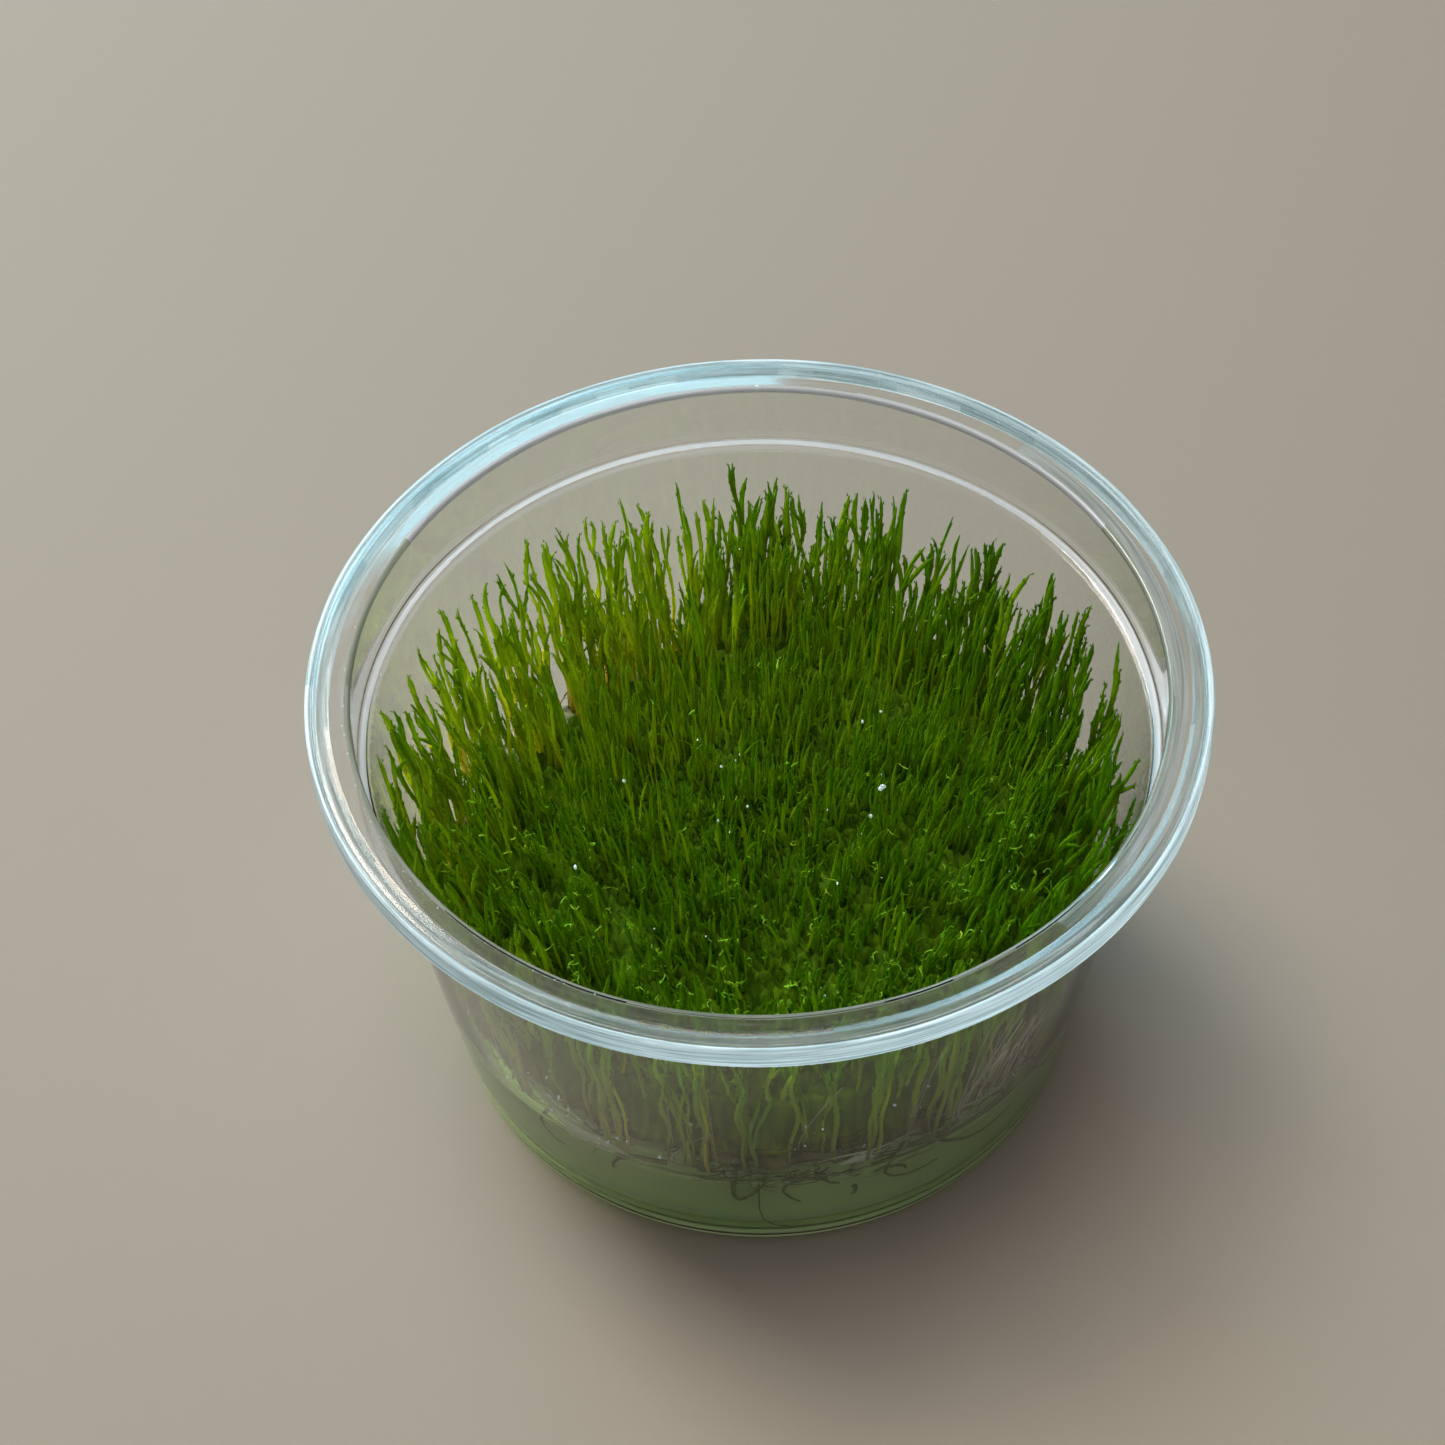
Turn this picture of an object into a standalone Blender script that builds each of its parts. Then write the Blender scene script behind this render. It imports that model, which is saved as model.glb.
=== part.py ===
"""A clump of thread-like moss on a layer of clear agar gel, in a small open culture cup.

Everything is in metres, +Z up. The origin is the centre of the cup's foot, on the surface that it stands on.
"""

import math
import random

import bmesh
import bpy
from mathutils import Vector

MM = 0.001

# Driving dimensions of the cup
RIM_RADIUS = 40.0 * MM
CUP_HEIGHT = 45.6 * MM
MOUTH_RADIUS = 36.0 * MM
LEDGE_DROP = 6.8 * MM
LEDGE_WIDTH = 1.0 * MM
FOOT_RADIUS = 29.6 * MM
WALL = 0.9 * MM
FLOOR = 1.4 * MM
TURN_STEPS = 48

# Driving dimensions of what the cup holds
GEL_DEPTH = 10.8 * MM
GAP = 0.3 * MM
MAT_THICKNESS = 2.6 * MM
MAT_RADIUS = 28.9 * MM
MAT_RAGGED = 0.5 * MM
MAT_BAYS = ((-67, 2.2 * MM), (-118, 1.2 * MM))
BAY_WIDTH = 9
SHOOT_TOP = 36.6 * MM
SIDE_RISE = 2.0 * MM
TIP_VARIES = 0.5 * MM
SHOOT_CLEARANCE = 0.5 * MM
FOOT_SHORTFALL = 1.8 * MM
MOSS_SEED = 7

# Where the tufts stand: rings in shares of the clump's radius, and places by the wall in degrees from +X
INNER_TUFTS = 6
INNER_RING = 0.42
WALL_RING = 0.82
WALL_TUFTS = (-77, -56, -34, -12, 10, 31, 52, 72, 90, 102, 114, 126, 141, 158, 177, 198, 220, 242, 263)
SITE_WANDER = 0.03
MIDDLE_CRACK = 0.015
WALL_CRACK = 0.036

# The form of one tuft, in shares of the clump's radius, of the shoots' height or of the prong's own foot
TUFT_CORE = 0.52
PARTING_HEIGHT = 0.3
PRONG_SPREAD = 0.10
PRONG_STRAY = 0.004
PRONG_SHORTFALL = 0.14
MIDDLE_DIP = 0.15
NECK_HEIGHT = 0.66
NECK_WIDTH = 0.74
TIP_WIDTH = 0.3
TOP_FLARE = 0.04

# Worked out from the driving dimensions
LEDGE_Z = CUP_HEIGHT - LEDGE_DROP
WALL_TOP_RADIUS = MOUTH_RADIUS - LEDGE_WIDTH
WALL_FOOT_RADIUS = FOOT_RADIUS + 0.5 * MM - WALL
GEL_TOP = FLOOR + GEL_DEPTH
MAT_TOP = GEL_TOP + GAP + MAT_THICKNESS
TUFT_FOOT = MAT_TOP + GAP


def inner_wall_radius(z):
    """The inside radius of the tapered wall at a height between the floor and the ledge."""
    share = (z - FLOOR) / (LEDGE_Z - FLOOR)
    return WALL_FOOT_RADIUS + (WALL_TOP_RADIUS - WALL_FOOT_RADIUS) * share


def clear_material(name, colour, roughness, alpha):
    """A see-through finish, for the plastic and the gel."""
    material = bpy.data.materials.new(name)
    material.use_nodes = True
    shader = material.node_tree.nodes["Principled BSDF"]
    shader.inputs["Base Color"].default_value = (*colour, 1.0)
    shader.inputs["Roughness"].default_value = roughness
    shader.inputs["Metallic"].default_value = 0.0
    shader.inputs["Alpha"].default_value = alpha
    material.diffuse_color = (*colour, alpha)
    return material


def solid_material(name, colour, roughness):
    """A plain opaque finish, for the moss."""
    return clear_material(name, colour, roughness, 1.0)


def new_object(name, mesh, material, collection):
    """Links a mesh to the scene as one named piece with one material."""
    piece = bpy.data.objects.new(name, mesh)
    mesh.materials.append(material)
    collection.objects.link(piece)
    return piece


def arc(centre, radius, start, end, steps):
    """Points (r, z) of a round stretch of a turned profile, with angles in degrees from +r."""
    points = []
    for step in range(steps + 1):
        angle = math.radians(start + (end - start) * step / steps)
        points.append((centre[0] + radius * math.cos(angle), centre[1] + radius * math.sin(angle)))
    return points


def turned(name, profile, material, collection):
    """A solid of revolution about Z, from a profile that runs from the axis round its outside to the axis."""
    mesh = bpy.data.meshes.new(name)
    points = [(r, 0.0, z) for r, z in profile]
    mesh.from_pydata(points, [(i, i + 1) for i in range(len(points) - 1)], [])
    piece = new_object(name, mesh, material, collection)
    screw = piece.modifiers.new("turn", "SCREW")
    screw.axis = "Z"
    screw.angle = math.tau
    screw.steps = screw.render_steps = TURN_STEPS
    screw.use_merge_vertices = True
    screw.merge_threshold = 0.00001
    screw.use_smooth_shade = True
    return piece


def cup_profile():
    """Half the cup's section: inner floor, inner wall, ledge, collar, rolled rim, outer wall and foot ring."""
    rim_roll = 0.6 * MM
    lip_depth = 2.3 * MM
    lip_wall = 0.9 * MM
    plate = 1.0 * MM
    mouth_round = 0.3 * MM
    floor_round = 2.4 * MM
    foot_round = 1.4 * MM
    foot_width = 1.6 * MM
    foot_recess = 0.5 * MM
    draft = 0.1 * MM
    ledge_round = 0.6 * MM
    ledge_rise = 0.15 * MM
    ledge_fall = 0.5 * MM
    shoulder = 0.7 * MM
    collar_outside = MOUTH_RADIUS + WALL
    wall_outside_top = WALL_TOP_RADIUS + WALL
    foot_edge = FOOT_RADIUS - foot_round + 3 * draft

    floor_corner = inner_wall_radius(FLOOR + floor_round)
    profile = [(0.0, FLOOR)]
    profile += arc((floor_corner - floor_round, FLOOR + floor_round), floor_round, -90, -8, 3)
    profile += [(WALL_TOP_RADIUS - draft, LEDGE_Z - ledge_round), (WALL_TOP_RADIUS + 2 * draft, LEDGE_Z)]
    profile += [(MOUTH_RADIUS - draft, LEDGE_Z + ledge_rise)]
    profile += arc((MOUTH_RADIUS + mouth_round, CUP_HEIGHT - mouth_round), mouth_round, 180, 90, 2)
    profile += arc((RIM_RADIUS - rim_roll, CUP_HEIGHT - rim_roll), rim_roll, 90, 0, 3)
    profile += [(RIM_RADIUS, CUP_HEIGHT - lip_depth), (RIM_RADIUS - lip_wall, CUP_HEIGHT - lip_depth)]
    profile += [(RIM_RADIUS - lip_wall, CUP_HEIGHT - plate), (collar_outside, CUP_HEIGHT - plate)]
    profile += [(collar_outside - draft, LEDGE_Z - ledge_fall)]
    profile += [(wall_outside_top, LEDGE_Z - ledge_fall - shoulder)]
    profile += arc((foot_edge, foot_round), foot_round, -8, -90, 3)
    profile += [(foot_edge - foot_width, 0.0), (foot_edge - foot_width - foot_recess, foot_recess)]
    profile += [(0.0, foot_recess)]
    return profile


def make_cup(collection):
    """The clear cup, moulded in one piece."""
    plastic = clear_material("clear_plastic", (0.86, 0.93, 0.94), 0.06, 0.25)
    return turned("cup", cup_profile(), plastic, collection)


def gel_profile():
    """Half the gel's section: it fills the cup's foot and climbs a little where it wets the wall."""
    meniscus = 0.7 * MM
    corner = 2.6 * MM
    flat_ends = 4.0 * MM
    climb_starts = 1.2 * MM
    first_climb = 0.2 * MM
    bottom = FLOOR + GAP
    wall_gap = GAP + 0.1 * MM
    edge_low = inner_wall_radius(bottom + corner) - wall_gap
    edge_high = inner_wall_radius(GEL_TOP + meniscus) - wall_gap
    top = [(0.0, GEL_TOP), (edge_high - flat_ends, GEL_TOP), (edge_high - climb_starts, GEL_TOP + first_climb)]
    side = [(edge_high, GEL_TOP + meniscus)]
    side += arc((edge_low - corner, bottom + corner), corner, -8, -90, 3)
    return top + side + [(0.0, bottom)]


def make_gel(collection):
    """The agar gel that the moss feeds on."""
    agar = clear_material("agar_gel", (0.36, 0.45, 0.30), 0.15, 0.6)
    return turned("gel", gel_profile(), agar, collection)


def mat_radius(angle, rng):
    """The ragged edge of the mat: two bays at the front where the bare gel shows, and small steps all round."""
    radius = MAT_RADIUS + rng.uniform(-MAT_RAGGED, MAT_RAGGED)
    for bay_angle, depth in MAT_BAYS:
        off = math.remainder(angle - math.radians(bay_angle), math.tau) / math.radians(BAY_WIDTH)
        radius -= depth * math.exp(-off * off)
    return radius


def make_mat(collection):
    """The matted old stems and rhizoids: a thick felt disc with a ragged edge, lying on the gel."""
    edge_points = 36
    bevel = 0.7 * MM
    rng = random.Random(MOSS_SEED)
    shape = bmesh.new()
    bmesh.ops.create_cone(
        shape, cap_ends=True, segments=edge_points, radius1=1.0, radius2=1.0, depth=MAT_THICKNESS
    )
    columns = {}
    for vert in shape.verts:
        columns.setdefault(round(math.atan2(vert.co.y, vert.co.x), 3), []).append(vert)
    for angle in sorted(columns):
        radius = mat_radius(angle, rng)
        for vert in columns[angle]:
            vert.co.xy *= radius
    bmesh.ops.translate(shape, verts=shape.verts, vec=(0, 0, GEL_TOP + GAP + MAT_THICKNESS / 2))
    rims = [e for e in shape.edges if abs(e.verts[0].co.z - e.verts[1].co.z) < GAP]
    bmesh.ops.bevel(shape, geom=rims, offset=bevel, segments=1, affect="EDGES")
    mesh = bpy.data.meshes.new("moss_mat")
    shape.to_mesh(mesh)
    shape.free()
    brown = solid_material("moss_base", (0.055, 0.05, 0.02), 0.85)
    return new_object("moss_mat", mesh, brown, collection)


def tuft_sites(rng):
    """Where the tufts stand, in shares of the clump's radius: the middle, a ring round it, and one by the wall."""
    sites = [Vector((0.0, 0.0))]
    for i in range(INNER_TUFTS):
        angle = math.tau * (i + 0.25) / INNER_TUFTS
        wander = Vector((rng.uniform(-1, 1), rng.uniform(-1, 1))) * SITE_WANDER
        sites.append(Vector((math.cos(angle), math.sin(angle))) * INNER_RING + wander)
    for degrees in WALL_TUFTS:
        angle = math.radians(degrees)
        wander = 1 + rng.uniform(-SITE_WANDER, SITE_WANDER)
        sites.append(Vector((math.cos(angle), math.sin(angle))) * WALL_RING * wander)
    return sites


def clip(polygon, point, normal):
    """The part of a convex polygon that lies behind a line, given by a point on it and its normal."""
    kept = []
    for i, here in enumerate(polygon):
        after = polygon[(i + 1) % len(polygon)]
        side_here = (here - point).dot(normal)
        side_after = (after - point).dot(normal)
        if side_here <= 0:
            kept.append(here)
        if side_here * side_after < 0:
            kept.append(here.lerp(after, side_here / (side_here - side_after)))
    return kept


def crack_width(place):
    """How wide the crack between two tufts is: they stand close in the middle and part towards the wall."""
    return MIDDLE_CRACK + (WALL_CRACK - MIDDLE_CRACK) * place.length_squared


def tuft_outline(sites, index):
    """The ground that one tuft covers, in shares of the clump's radius, with half a crack left all round it."""
    circle_points = 48
    here = sites[index]
    outline_points = 8 if index <= INNER_TUFTS else 7
    turns = [math.tau * i / circle_points for i in range(circle_points)]
    polygon = [Vector((math.cos(turn), math.sin(turn))) for turn in turns]
    for other_index, other in enumerate(sites):
        if other_index != index:
            across = (other - here).normalized()
            middle = (here + other) / 2
            polygon = clip(polygon, middle - across * crack_width(middle) / 2, across)
    lengths = [(polygon[(i + 1) % len(polygon)] - point).length for i, point in enumerate(polygon)]
    outline = []
    for step in range(outline_points):
        walk = sum(lengths) * step / outline_points
        for i, length in enumerate(lengths):
            if walk <= length:
                outline.append(polygon[i].lerp(polygon[(i + 1) % len(polygon)], walk / length))
                break
            walk -= length
    return outline


def draw_up(shape, face, rise, lean, scale):
    """Draws a face up into the next stretch of a prong, and returns the face at its new end."""
    centre = face.calc_center_median()
    drawn = bmesh.ops.extrude_discrete_faces(shape, faces=[face])["faces"][0]
    for vert in drawn.verts:
        flat = (vert.co.xy - centre.xy) * scale + centre.xy + lean
        vert.co = Vector((flat.x, flat.y, centre.z + rise))
    return drawn


def fan_out(share_point, tip_z):
    """Where a point of a tuft goes, from its place in shares of the clump's radius and of the shoots' height.

    The tufts flare towards their tips, but the wall holds them in.
    """
    z = TUFT_FOOT + (tip_z - TUFT_FOOT) * share_point.z
    wall = inner_wall_radius(z) - SHOOT_CLEARANCE
    radius = (wall - FOOT_SHORTFALL * (1 - share_point.z) ** 2) * (1 + TOP_FLARE * share_point.z**2)
    place = share_point.xy * radius
    if place.length > wall:
        place *= wall / place.length
    return Vector((place.x, place.y, z))


def make_tuft(name, outline, tip_z, material, collection, rng):
    """One tuft: a dense foot that parts into prongs, each a bundle of shoots that narrows to its tips.

    The prongs stand lower towards the middle of the cup. The tuft is drawn straight up over its ground and then
    fanned out, so that it follows the tapered wall of the cup.
    """
    shape = bmesh.new()
    centre = sum(outline, Vector((0.0, 0.0))) / len(outline)
    hub = shape.verts.new((*centre, 0.0))
    inner = [shape.verts.new((*centre.lerp(point, TUFT_CORE), 0.0)) for point in outline]
    outer = [shape.verts.new((*point, 0.0)) for point in outline]
    ground = []
    for i in range(len(outline)):
        j = (i + 1) % len(outline)
        ground.append(shape.faces.new((outer[i], outer[j], inner[j], inner[i])))
        ground.append(shape.faces.new((inner[i], inner[j], hub)))
    lifted = bmesh.ops.extrude_face_region(shape, geom=ground, use_keep_orig=True)["geom"]
    for vert in [item for item in lifted if isinstance(item, bmesh.types.BMVert)]:
        vert.co.z = PARTING_HEIGHT
    bmesh.ops.reverse_faces(shape, faces=ground)
    for face in [item for item in lifted if isinstance(item, bmesh.types.BMFace)]:
        away = (face.calc_center_median().xy - centre) * PRONG_SPREAD
        stray = Vector((rng.uniform(-1, 1), rng.uniform(-1, 1))) * PRONG_STRAY
        dip = MIDDLE_DIP * (1 - face.calc_center_median().xy.length_squared)
        rise = 1.0 - dip - rng.uniform(0.0, PRONG_SHORTFALL) - PARTING_HEIGHT
        neck = draw_up(shape, face, rise * NECK_HEIGHT, away + stray, NECK_WIDTH)
        draw_up(shape, neck, rise * (1 - NECK_HEIGHT), away + stray, TIP_WIDTH / NECK_WIDTH)
    for vert in shape.verts:
        vert.co = fan_out(vert.co, tip_z)
    bmesh.ops.recalc_face_normals(shape, faces=shape.faces)
    mesh = bpy.data.meshes.new(name)
    shape.to_mesh(mesh)
    shape.free()
    return new_object(name, mesh, material, collection)


def make_tufts(collection):
    """The tufts of upright shoots, with cracks between them. Those at the sides of the cup stand tallest."""
    rng = random.Random(MOSS_SEED)
    green = solid_material("moss_green", (0.05, 0.13, 0.01), 0.6)
    sites = tuft_sites(rng)
    for index, site in enumerate(sites):
        tip_z = SHOOT_TOP + SIDE_RISE * site.x**2 + rng.uniform(-TIP_VARIES, TIP_VARIES)
        make_tuft(f"moss_tuft_{index + 1:02d}", tuft_outline(sites, index), tip_z, green, collection, rng)


def main():
    for old in list(bpy.data.objects):
        bpy.data.objects.remove(old)
    collection = bpy.data.collections.new("moss_clump")
    bpy.context.scene.collection.children.link(collection)
    make_cup(collection)
    make_gel(collection)
    make_mat(collection)
    make_tufts(collection)


main()
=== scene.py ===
"""The looks of a clump of thread-like moss that grows on clear agar gel in a small open culture cup."""

import math

import bpy
import numpy as np
from mathutils import Matrix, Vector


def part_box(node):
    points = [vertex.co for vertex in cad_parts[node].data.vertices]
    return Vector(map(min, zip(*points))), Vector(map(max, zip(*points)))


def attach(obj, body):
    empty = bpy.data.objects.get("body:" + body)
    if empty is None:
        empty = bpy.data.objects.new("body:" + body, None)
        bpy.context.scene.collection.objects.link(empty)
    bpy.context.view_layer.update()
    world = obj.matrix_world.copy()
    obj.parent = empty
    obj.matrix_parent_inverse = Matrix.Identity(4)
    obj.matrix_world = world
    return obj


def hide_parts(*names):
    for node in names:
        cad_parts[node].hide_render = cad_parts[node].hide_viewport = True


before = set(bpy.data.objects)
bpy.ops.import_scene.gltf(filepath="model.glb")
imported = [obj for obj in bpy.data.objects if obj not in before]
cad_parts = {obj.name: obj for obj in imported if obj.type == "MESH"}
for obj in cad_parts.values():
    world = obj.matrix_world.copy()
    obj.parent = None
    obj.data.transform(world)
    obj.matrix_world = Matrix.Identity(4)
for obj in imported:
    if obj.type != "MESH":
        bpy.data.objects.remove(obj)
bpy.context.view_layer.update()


# The cup --------------------------------------------------------------------------------------
# The holder is moulded in one piece of thin clear plastic: a tapered wall on a foot ring, a ledge and an
# upright collar for the lid, and a flat flange with a turned-down lip. The flange is a little frosted where
# a lid has rubbed on it, and the wall is not quite even, so it bends what is seen through it.

MM = 0.001
cup_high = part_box("cup")[1]
RIM_RADIUS = cup_high.x / MM
CUP_HEIGHT = cup_high.z / MM
MOUTH_RADIUS = RIM_RADIUS - 4.0
PLASTIC = 0.38
COLLAR_OUTSIDE = MOUTH_RADIUS + PLASTIC
BEAD_INSIDE = 38.15
GROOVE_RADIUS = 39.45
LIP_INSIDE = RIM_RADIUS - 0.7
LIP_FOOT = CUP_HEIGHT - 2.3
FLANGE_TOP = CUP_HEIGHT - 0.16
FLANGE_UNDER = FLANGE_TOP - PLASTIC
LEDGE_HEIGHT = CUP_HEIGHT - 6.8
WALL_TOP_INSIDE = MOUTH_RADIUS - 1.0
WALL_FOOT_INSIDE = 29.2
FLOOR_HEIGHT = 1.4
FOOT_OUTSIDE = 29.7
FOOT_INSIDE = 26.9
CUP_TURNS = 150


def wall_inside(height):
    """The inside radius of the tapered wall at a height, in millimetres."""
    share = (height - FLOOR_HEIGHT) / (LEDGE_HEIGHT - FLOOR_HEIGHT)
    return WALL_FOOT_INSIDE + (WALL_TOP_INSIDE - WALL_FOOT_INSIDE) * share


def rounded_outline(corners, step_degrees=11.0):
    """The points of an outline whose corners (radius, height, round) are each rounded by an arc."""
    outline = [np.array(corners[0][:2])]
    for before, corner, after in zip(corners, corners[1:], corners[2:]):
        place = np.array(corner[:2])
        back = np.array(before[:2]) - place
        onward = np.array(after[:2]) - place
        back /= np.linalg.norm(back)
        onward /= np.linalg.norm(onward)
        half = math.acos(float(np.clip(back @ onward, -1.0, 1.0))) / 2
        turn = math.pi - 2 * half
        bisector = (back + onward) / np.linalg.norm(back + onward)
        centre = place + bisector * corner[2] / math.sin(half)
        start = place + back * corner[2] / math.tan(half) - centre
        end = place + onward * corner[2] / math.tan(half) - centre
        steps = max(1, math.ceil(math.degrees(turn) / step_degrees))
        for step in range(steps + 1):
            share = step / steps
            swing = start * math.sin((1 - share) * turn) + end * math.sin(share * turn)
            outline.append(centre + swing / math.sin(turn))
    outline.append(np.array(corners[-1][:2]))
    return outline


def held_straight(outline, near=0.12, spacing=1.6):
    """The outline with points added on its straight runs, so that they shade flat up to the rounds."""
    held = [outline[0]]
    for start, end in zip(outline, outline[1:]):
        length = float(np.linalg.norm(end - start))
        if length > 3 * near:
            inner = max(1, round((length - 2 * near) / spacing))
            for walk in np.linspace(near, length - near, inner + 1):
                held.append(start + (end - start) * walk / length)
        held.append(end)
    return np.array(held)


def at(reach, turn, height):
    """Points at a distance from the axis, an angle round from +X and a height."""
    return np.stack(np.broadcast_arrays(reach * np.cos(turn), reach * np.sin(turn), height), axis=-1)


def unit(vectors):
    """The vectors, each made one long."""
    return vectors / np.maximum(np.linalg.norm(vectors, axis=-1, keepdims=True), 1e-9)


def closed_rings(rings, first_height, last_height, inward=False):
    """Points and faces of rings (ring, turn, xyz) that close in a point on the axis beyond each end."""
    count, turns, _ = rings.shape
    points = np.concatenate([rings.reshape(-1, 3), [[0, 0, first_height], [0, 0, last_height]]])
    here = np.arange(turns)
    after = (here + 1) % turns
    row = np.arange(count - 1)[:, None] * turns
    corners = [row + here, row + after, row + turns + after, row + turns + here]
    bands = np.stack(corners, axis=-1).reshape(-1, 4)
    last = (count - 1) * turns
    pole = np.full(turns, count * turns)
    fans = np.concatenate([
        np.stack([pole, after, here], axis=-1), np.stack([pole + 1, last + here, last + after], axis=-1)])
    if inward:
        bands, fans = bands[:, [0, 3, 2, 1]], fans[:, [0, 2, 1]]
    return points, bands, fans


def turned(outline, turns):
    """Points and faces of an outline turned about the axis, where both of its ends lie."""
    angles = np.arange(turns) * math.tau / turns
    rings = at(outline[1:-1, :1], angles, outline[1:-1, 1:])
    return closed_rings(rings, outline[0, 1], outline[-1, 1], inward=True)


def new_piece(name, points, face_groups, material, body="root"):
    """One smooth piece from points in millimetres and arrays of faces, riding on the part's body."""
    mesh = bpy.data.meshes.new(name)
    mesh.vertices.add(len(points))
    mesh.vertices.foreach_set("co", (np.asarray(points) * MM).astype(np.float32).ravel())
    corners = np.concatenate([faces.ravel() for faces in face_groups]).astype(np.int32)
    sizes = np.concatenate([np.full(len(faces), faces.shape[1]) for faces in face_groups])
    mesh.loops.add(len(corners))
    mesh.loops.foreach_set("vertex_index", corners)
    mesh.polygons.add(len(sizes))
    starts = np.concatenate([[0], np.cumsum(sizes)[:-1]]).astype(np.int32)
    mesh.polygons.foreach_set("loop_start", starts)
    mesh.update(calc_edges=True)
    mesh.shade_smooth()
    mesh.materials.append(material)
    piece = bpy.data.objects.new(name, mesh)
    bpy.context.scene.collection.objects.link(piece)
    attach(piece, body)
    return piece


def node(tree, kind, inputs=None, **settings):
    """Adds a shader node, and sets or links its inputs by name or number."""
    added = tree.nodes.new(kind)
    for setting, value in settings.items():
        setattr(added, setting, value)
    for socket, value in (inputs or {}).items():
        if isinstance(value, bpy.types.NodeSocket):
            tree.links.new(value, added.inputs[socket])
        else:
            added.inputs[socket].default_value = value
    return added


def new_material(name):
    """An empty node material and its node tree."""
    material = bpy.data.materials.new(name)
    material.use_nodes = True
    material.node_tree.nodes.clear()
    return material, material.node_tree


def set_surface(tree, shader, shadow_tint=None):
    """Makes a shader the surface. A tint lets shadow rays by, as thin plastic and gel let soft light by."""
    surface = shader.outputs[0]
    if shadow_tint:
        path = node(tree, "ShaderNodeLightPath")
        clear = node(tree, "ShaderNodeBsdfTransparent", {"Color": (*shadow_tint, 1.0)})
        surface = node(tree, "ShaderNodeMixShader", {
            0: path.outputs["Is Shadow Ray"], 1: surface, 2: clear.outputs[0]}).outputs[0]
    return node(tree, "ShaderNodeOutputMaterial", {"Surface": surface})


def principled(tree, colour, roughness, others=None):
    """A Principled shader of a colour and a roughness, and its other inputs by name."""
    return node(tree, "ShaderNodeBsdfPrincipled", {
        "Base Color": colour, "Roughness": roughness, **(others or {})})


def lit_through(tree, shader, colour, share):
    """A shader mixed with a share of light that comes through it from behind."""
    glow = node(tree, "ShaderNodeBsdfTranslucent", {"Color": colour})
    return node(tree, "ShaderNodeMixShader", {0: share, 1: shader.outputs[0], 2: glow.outputs[0]})


def ramp(tree, factor, *stops):
    """The colour at a factor, between stops (position, red, green, blue)."""
    added = node(tree, "ShaderNodeValToRGB", {"Fac": factor})
    elements = added.color_ramp.elements
    for element, stop in ((elements[0], stops[0]), (elements[1], stops[-1])):
        element.position = stop[0]
        element.color = (*stop[1:], 1.0)
    for stop in stops[1:-1]:
        elements.new(stop[0]).color = (*stop[1:], 1.0)
    return added.outputs["Color"]


def mixed(tree, factor, first, second, blend="MIX"):
    """Two colours mixed by a factor."""
    return node(tree, "ShaderNodeMix", {
        0: factor, 6: first, 7: second}, data_type="RGBA", blend_type=blend).outputs[2]


def own_frame(tree):
    """The place of each point in the frame of its piece."""
    return node(tree, "ShaderNodeTexCoord").outputs["Object"]


def noise(tree, scale, detail, vector=None, distortion=0.0):
    """Noise over the piece's own frame, or over another vector."""
    return node(tree, "ShaderNodeTexNoise", {
        "Vector": vector or own_frame(tree), "Scale": scale, "Detail": detail, "Distortion": distortion,
    }).outputs["Fac"]


def ranged(tree, value, low, high, start=0.0, end=1.0):
    """A shader value held between two bounds, and moved to between a start and an end."""
    return node(tree, "ShaderNodeMapRange", {
        "Value": value, "From Min": low, "From Max": high, "To Min": start, "To Max": end}).outputs[0]


def height_share(tree, low, high):
    """How far up a point lies between two heights in millimetres, from 0 to 1."""
    height = node(tree, "ShaderNodeSeparateXYZ", {0: own_frame(tree)}).outputs["Z"]
    return ranged(tree, height, low * MM, high * MM)


def stored(tree, name):
    """A value that is stored on the points of a piece."""
    return node(tree, "ShaderNodeAttribute", attribute_name=name).outputs["Fac"]


def bumped(tree, strength, depth, height):
    """The normal of a bump that is some millimetres deep."""
    return node(tree, "ShaderNodeBump", {
        "Strength": strength, "Distance": depth * MM, "Height": height}).outputs[0]


def times(tree, value, factor):
    """A shader value times another."""
    return node(tree, "ShaderNodeMath", {0: value, 1: factor}, operation="MULTIPLY").outputs[0]


# Moulding streaks run round the axis, so the group reads the radius, height and angle of each point
STREAK_LENGTH = 4.0
moulding = bpy.data.node_groups.new("moulding_streaks", "ShaderNodeTree")
for socket, way in (("Fineness", "INPUT"), ("Length", "INPUT"), ("Streak", "OUTPUT"), ("Height", "OUTPUT")):
    moulding.interface.new_socket(name=socket, in_out=way, socket_type="NodeSocketFloat")
given = node(moulding, "NodeGroupInput").outputs
split = node(moulding, "ShaderNodeSeparateXYZ", {0: own_frame(moulding)}).outputs
angle = node(moulding, "ShaderNodeMath", {0: split["Y"], 1: split["X"]}, operation="ARCTAN2")
flat = node(moulding, "ShaderNodeCombineXYZ", {"X": split["X"], "Y": split["Y"]})
radius = node(moulding, "ShaderNodeVectorMath", {0: flat.outputs[0]}, operation="LENGTH")
unrolled = node(moulding, "ShaderNodeCombineXYZ", {
    "X": times(moulding, angle.outputs[0], given["Length"]),
    "Y": times(moulding, radius.outputs["Value"], given["Fineness"]),
    "Z": times(moulding, split["Z"], given["Fineness"]),
})
node(moulding, "NodeGroupOutput", {
    "Streak": noise(moulding, 1.0, 3.0, unrolled.outputs[0]), "Height": split["Z"]})


def moulding_streaks(tree, fineness):
    """What the moulding group gives at a fineness."""
    return node(tree, "ShaderNodeGroup", {
        "Fineness": fineness, "Length": STREAK_LENGTH}, node_tree=moulding).outputs


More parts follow.
